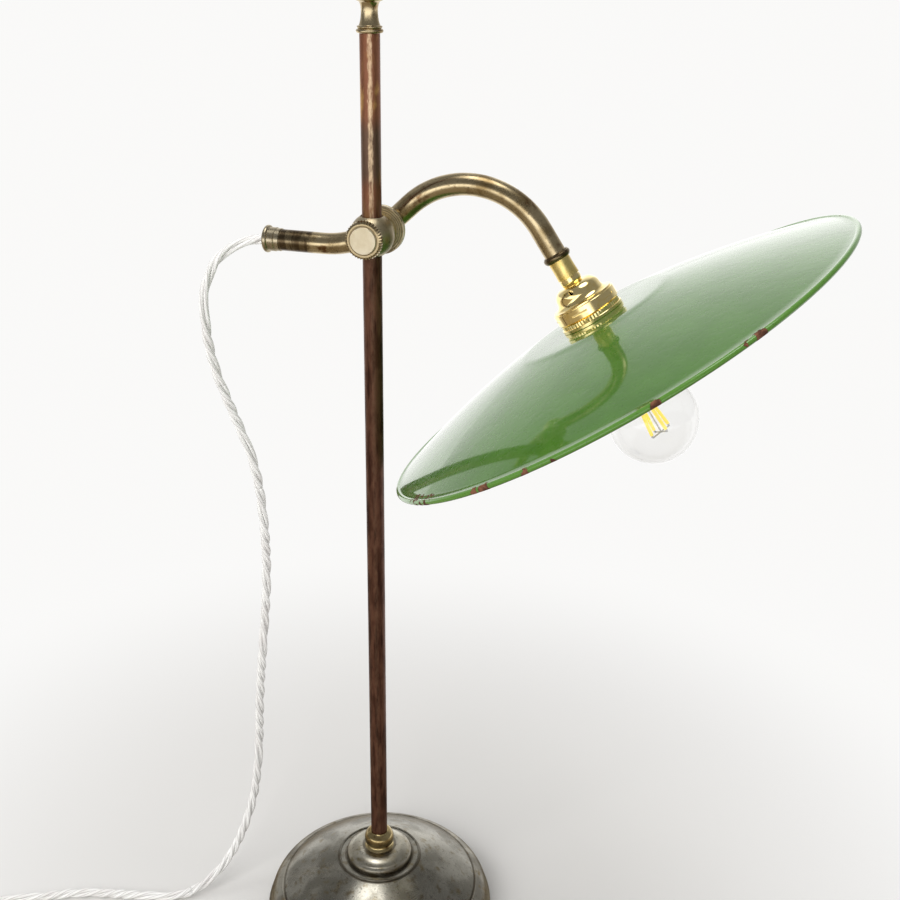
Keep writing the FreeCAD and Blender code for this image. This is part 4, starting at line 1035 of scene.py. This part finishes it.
finialSpec = {
    "foot": 0.6821,
    # radius and height of each station in millimetres: the bore for the stud, two beads at the
    # foot, a long waist, a broad bead, a ball and a small tip
    "stations": [
        (tip, 14.0), (3.0, 14.0), (3.0, 0.0), (7.1, 0.0), (7.9, 0.25), (8.3, 0.8), (8.4, 1.4),
        (8.2, 2.0), (7.7, 2.4), (7.2, 2.55), (7.1, 2.75), (7.4, 2.95), (7.75, 3.3), (7.8, 3.7),
        (7.6, 4.05), (7.0, 4.3), (6.6, 4.5), (6.35, 4.9), (6.05, 5.8), (5.7, 7.2), (5.4, 9.0),
        (5.2, 11.0), (5.15, 13.0), (5.3, 14.8), (5.6, 16.2), (6.1, 17.3), (6.6, 17.9),
        (7.4, 18.2), (8.2, 18.6), (8.8, 19.3), (9.0, 20.1), (8.8, 20.9), (8.1, 21.5),
        (6.9, 21.9), (6.2, 22.3), (5.95, 22.9), (6.0, 23.3), (6.6, 24.3), (7.6, 25.8),
        (8.3, 27.6), (8.55, 29.4), (8.3, 31.1), (7.5, 32.7), (6.3, 34.0), (4.9, 34.9),
        (3.8, 35.4), (3.3, 35.8), (3.0, 36.5), (2.3, 37.3), (1.2, 37.85), (tip, 38.0),
    ],
}
finialPiece = lathed("finialPiece", inMetres(finialSpec["stations"], finialSpec["foot"]))
standFor(settle(finialPiece), "finial", "stand", "aged_brass", "agedBrass")


# End collar

collarSpec = {
    # radius and distance along the lampholder's axis, in millimetres: a broad bead whose
    # edges are stepped
    "stations": [
        (7.25, 18.2), (8.1, 18.2), (8.35, 18.4), (8.4, 18.8), (8.75, 18.95), (9.05, 19.3),
        (9.2, 19.9), (9.2, 20.9), (9.05, 21.5), (8.75, 21.9), (8.45, 22.0), (8.4, 22.5),
        (8.15, 22.7), (7.25, 22.7), (7.25, 18.2),
    ],
}
collarPiece = settle(lathed("collarPiece", inMetres(collarSpec["stations"])), holderPlace)
standFor(collarPiece, "end_collar", "arm", "dark_brass", "darkBrass")


# Bulb

bulbSpec = {
    "neck": (0.0120, 0.09635),
    "centre": 0.14535,
    "ball": 0.0300,
    "wall": 0.0008,
    "flare": 0.0008,     # how hollow the neck's outline is
    "joinShare": 0.82,   # where the neck meets the ball, as a share of the ball's radius
    "neckStations": 12,
    "ballStations": 28,
    "smooth": 60,
}


def makeBulb(spec):
    # a thin glass skin: from the inner tip down the inside, round the neck's edge, and back
    # up the outside to the tip
    start = math.asin(spec["joinShare"])
    count = spec["ballStations"]

    def skin(inset):
        ball = spec["ball"] - inset
        neck = (spec["neck"][0] - inset, spec["neck"][1])
        join = (ball * math.sin(start), spec["centre"] - ball * math.cos(start))
        turns = [start + (math.pi - start) * k / count for k in range(1, count + 1)]
        return ([neck] + arcStations(neck, join, spec["flare"], spec["neckStations"])
                + [(max(ball * math.sin(turn), tip / 1000),
                    spec["centre"] - ball * math.cos(turn)) for turn in turns])

    outline = skin(spec["wall"])[::-1] + skin(0)
    return settle(lathed("bulbPiece", outline, smooth=spec["smooth"]), holderPlace)


standFor(makeBulb(bulbSpec), "bulb_glass", "arm", "bulb_glass", "bulbGlass")


# Filaments

stickSpec = {
    "count": 4,
    "start": (0.00375, 0.12525),   # how far from the holder's axis and how far along it
    "end": (0.00750, 0.15501),
    "firstTurn": 45,
    "sides": 24,
    # radius and place of each station along a stick, in millimetres
    "stations": [
        (tip, -0.9), (0.35, -0.9), (0.40, -0.5), (0.70, -0.4), (0.75, -0.1), (0.75, 0.6),
        (1.05, 0.8), (1.15, 1.2), (1.15, 28.8), (1.05, 29.2), (0.75, 29.4), (0.75, 30.1),
        (0.70, 30.4), (0.40, 30.5), (0.35, 30.9), (tip, 30.9),
    ],
    "coated": (0.0007, 0.0293),
}


def makeSticks(spec):
    # light-emitting sticks that lean out from the stem, coated between two metal ends
    start, end = (Vector((wide, 0, high)) for wide, high in (spec["start"], spec["end"]))
    lean = (end - start).to_track_quat("Z", "Y").to_matrix().to_4x4()
    outline = inMetres(spec["stations"])
    sticks = []
    for k in range(spec["count"]):
        stick = lathed("stickPiece", outline, spec["sides"])
        stick.data.materials.append(finishes["filament"])
        stick.data.materials.append(finishes["steel"])
        for face in stick.data.polygons:
            if not spec["coated"][0] < face.center.z < spec["coated"][1]:
                face.material_index = 1
        angle = spec["firstTurn"] + 360 / spec["count"] * k
        turn = Matrix.Rotation(math.radians(angle), 4, "Z")
        sticks.append(settle(stick, holderPlace @ turn @ Matrix.Translation(start) @ lean))
    bpy.ops.object.select_all(action="DESELECT")
    for stick in sticks:
        stick.select_set(True)
    bpy.context.view_layer.objects.active = sticks[0]
    bpy.ops.object.join()
    return sticks[0]


standFor(makeSticks(stickSpec), "filaments", "arm", "filament")
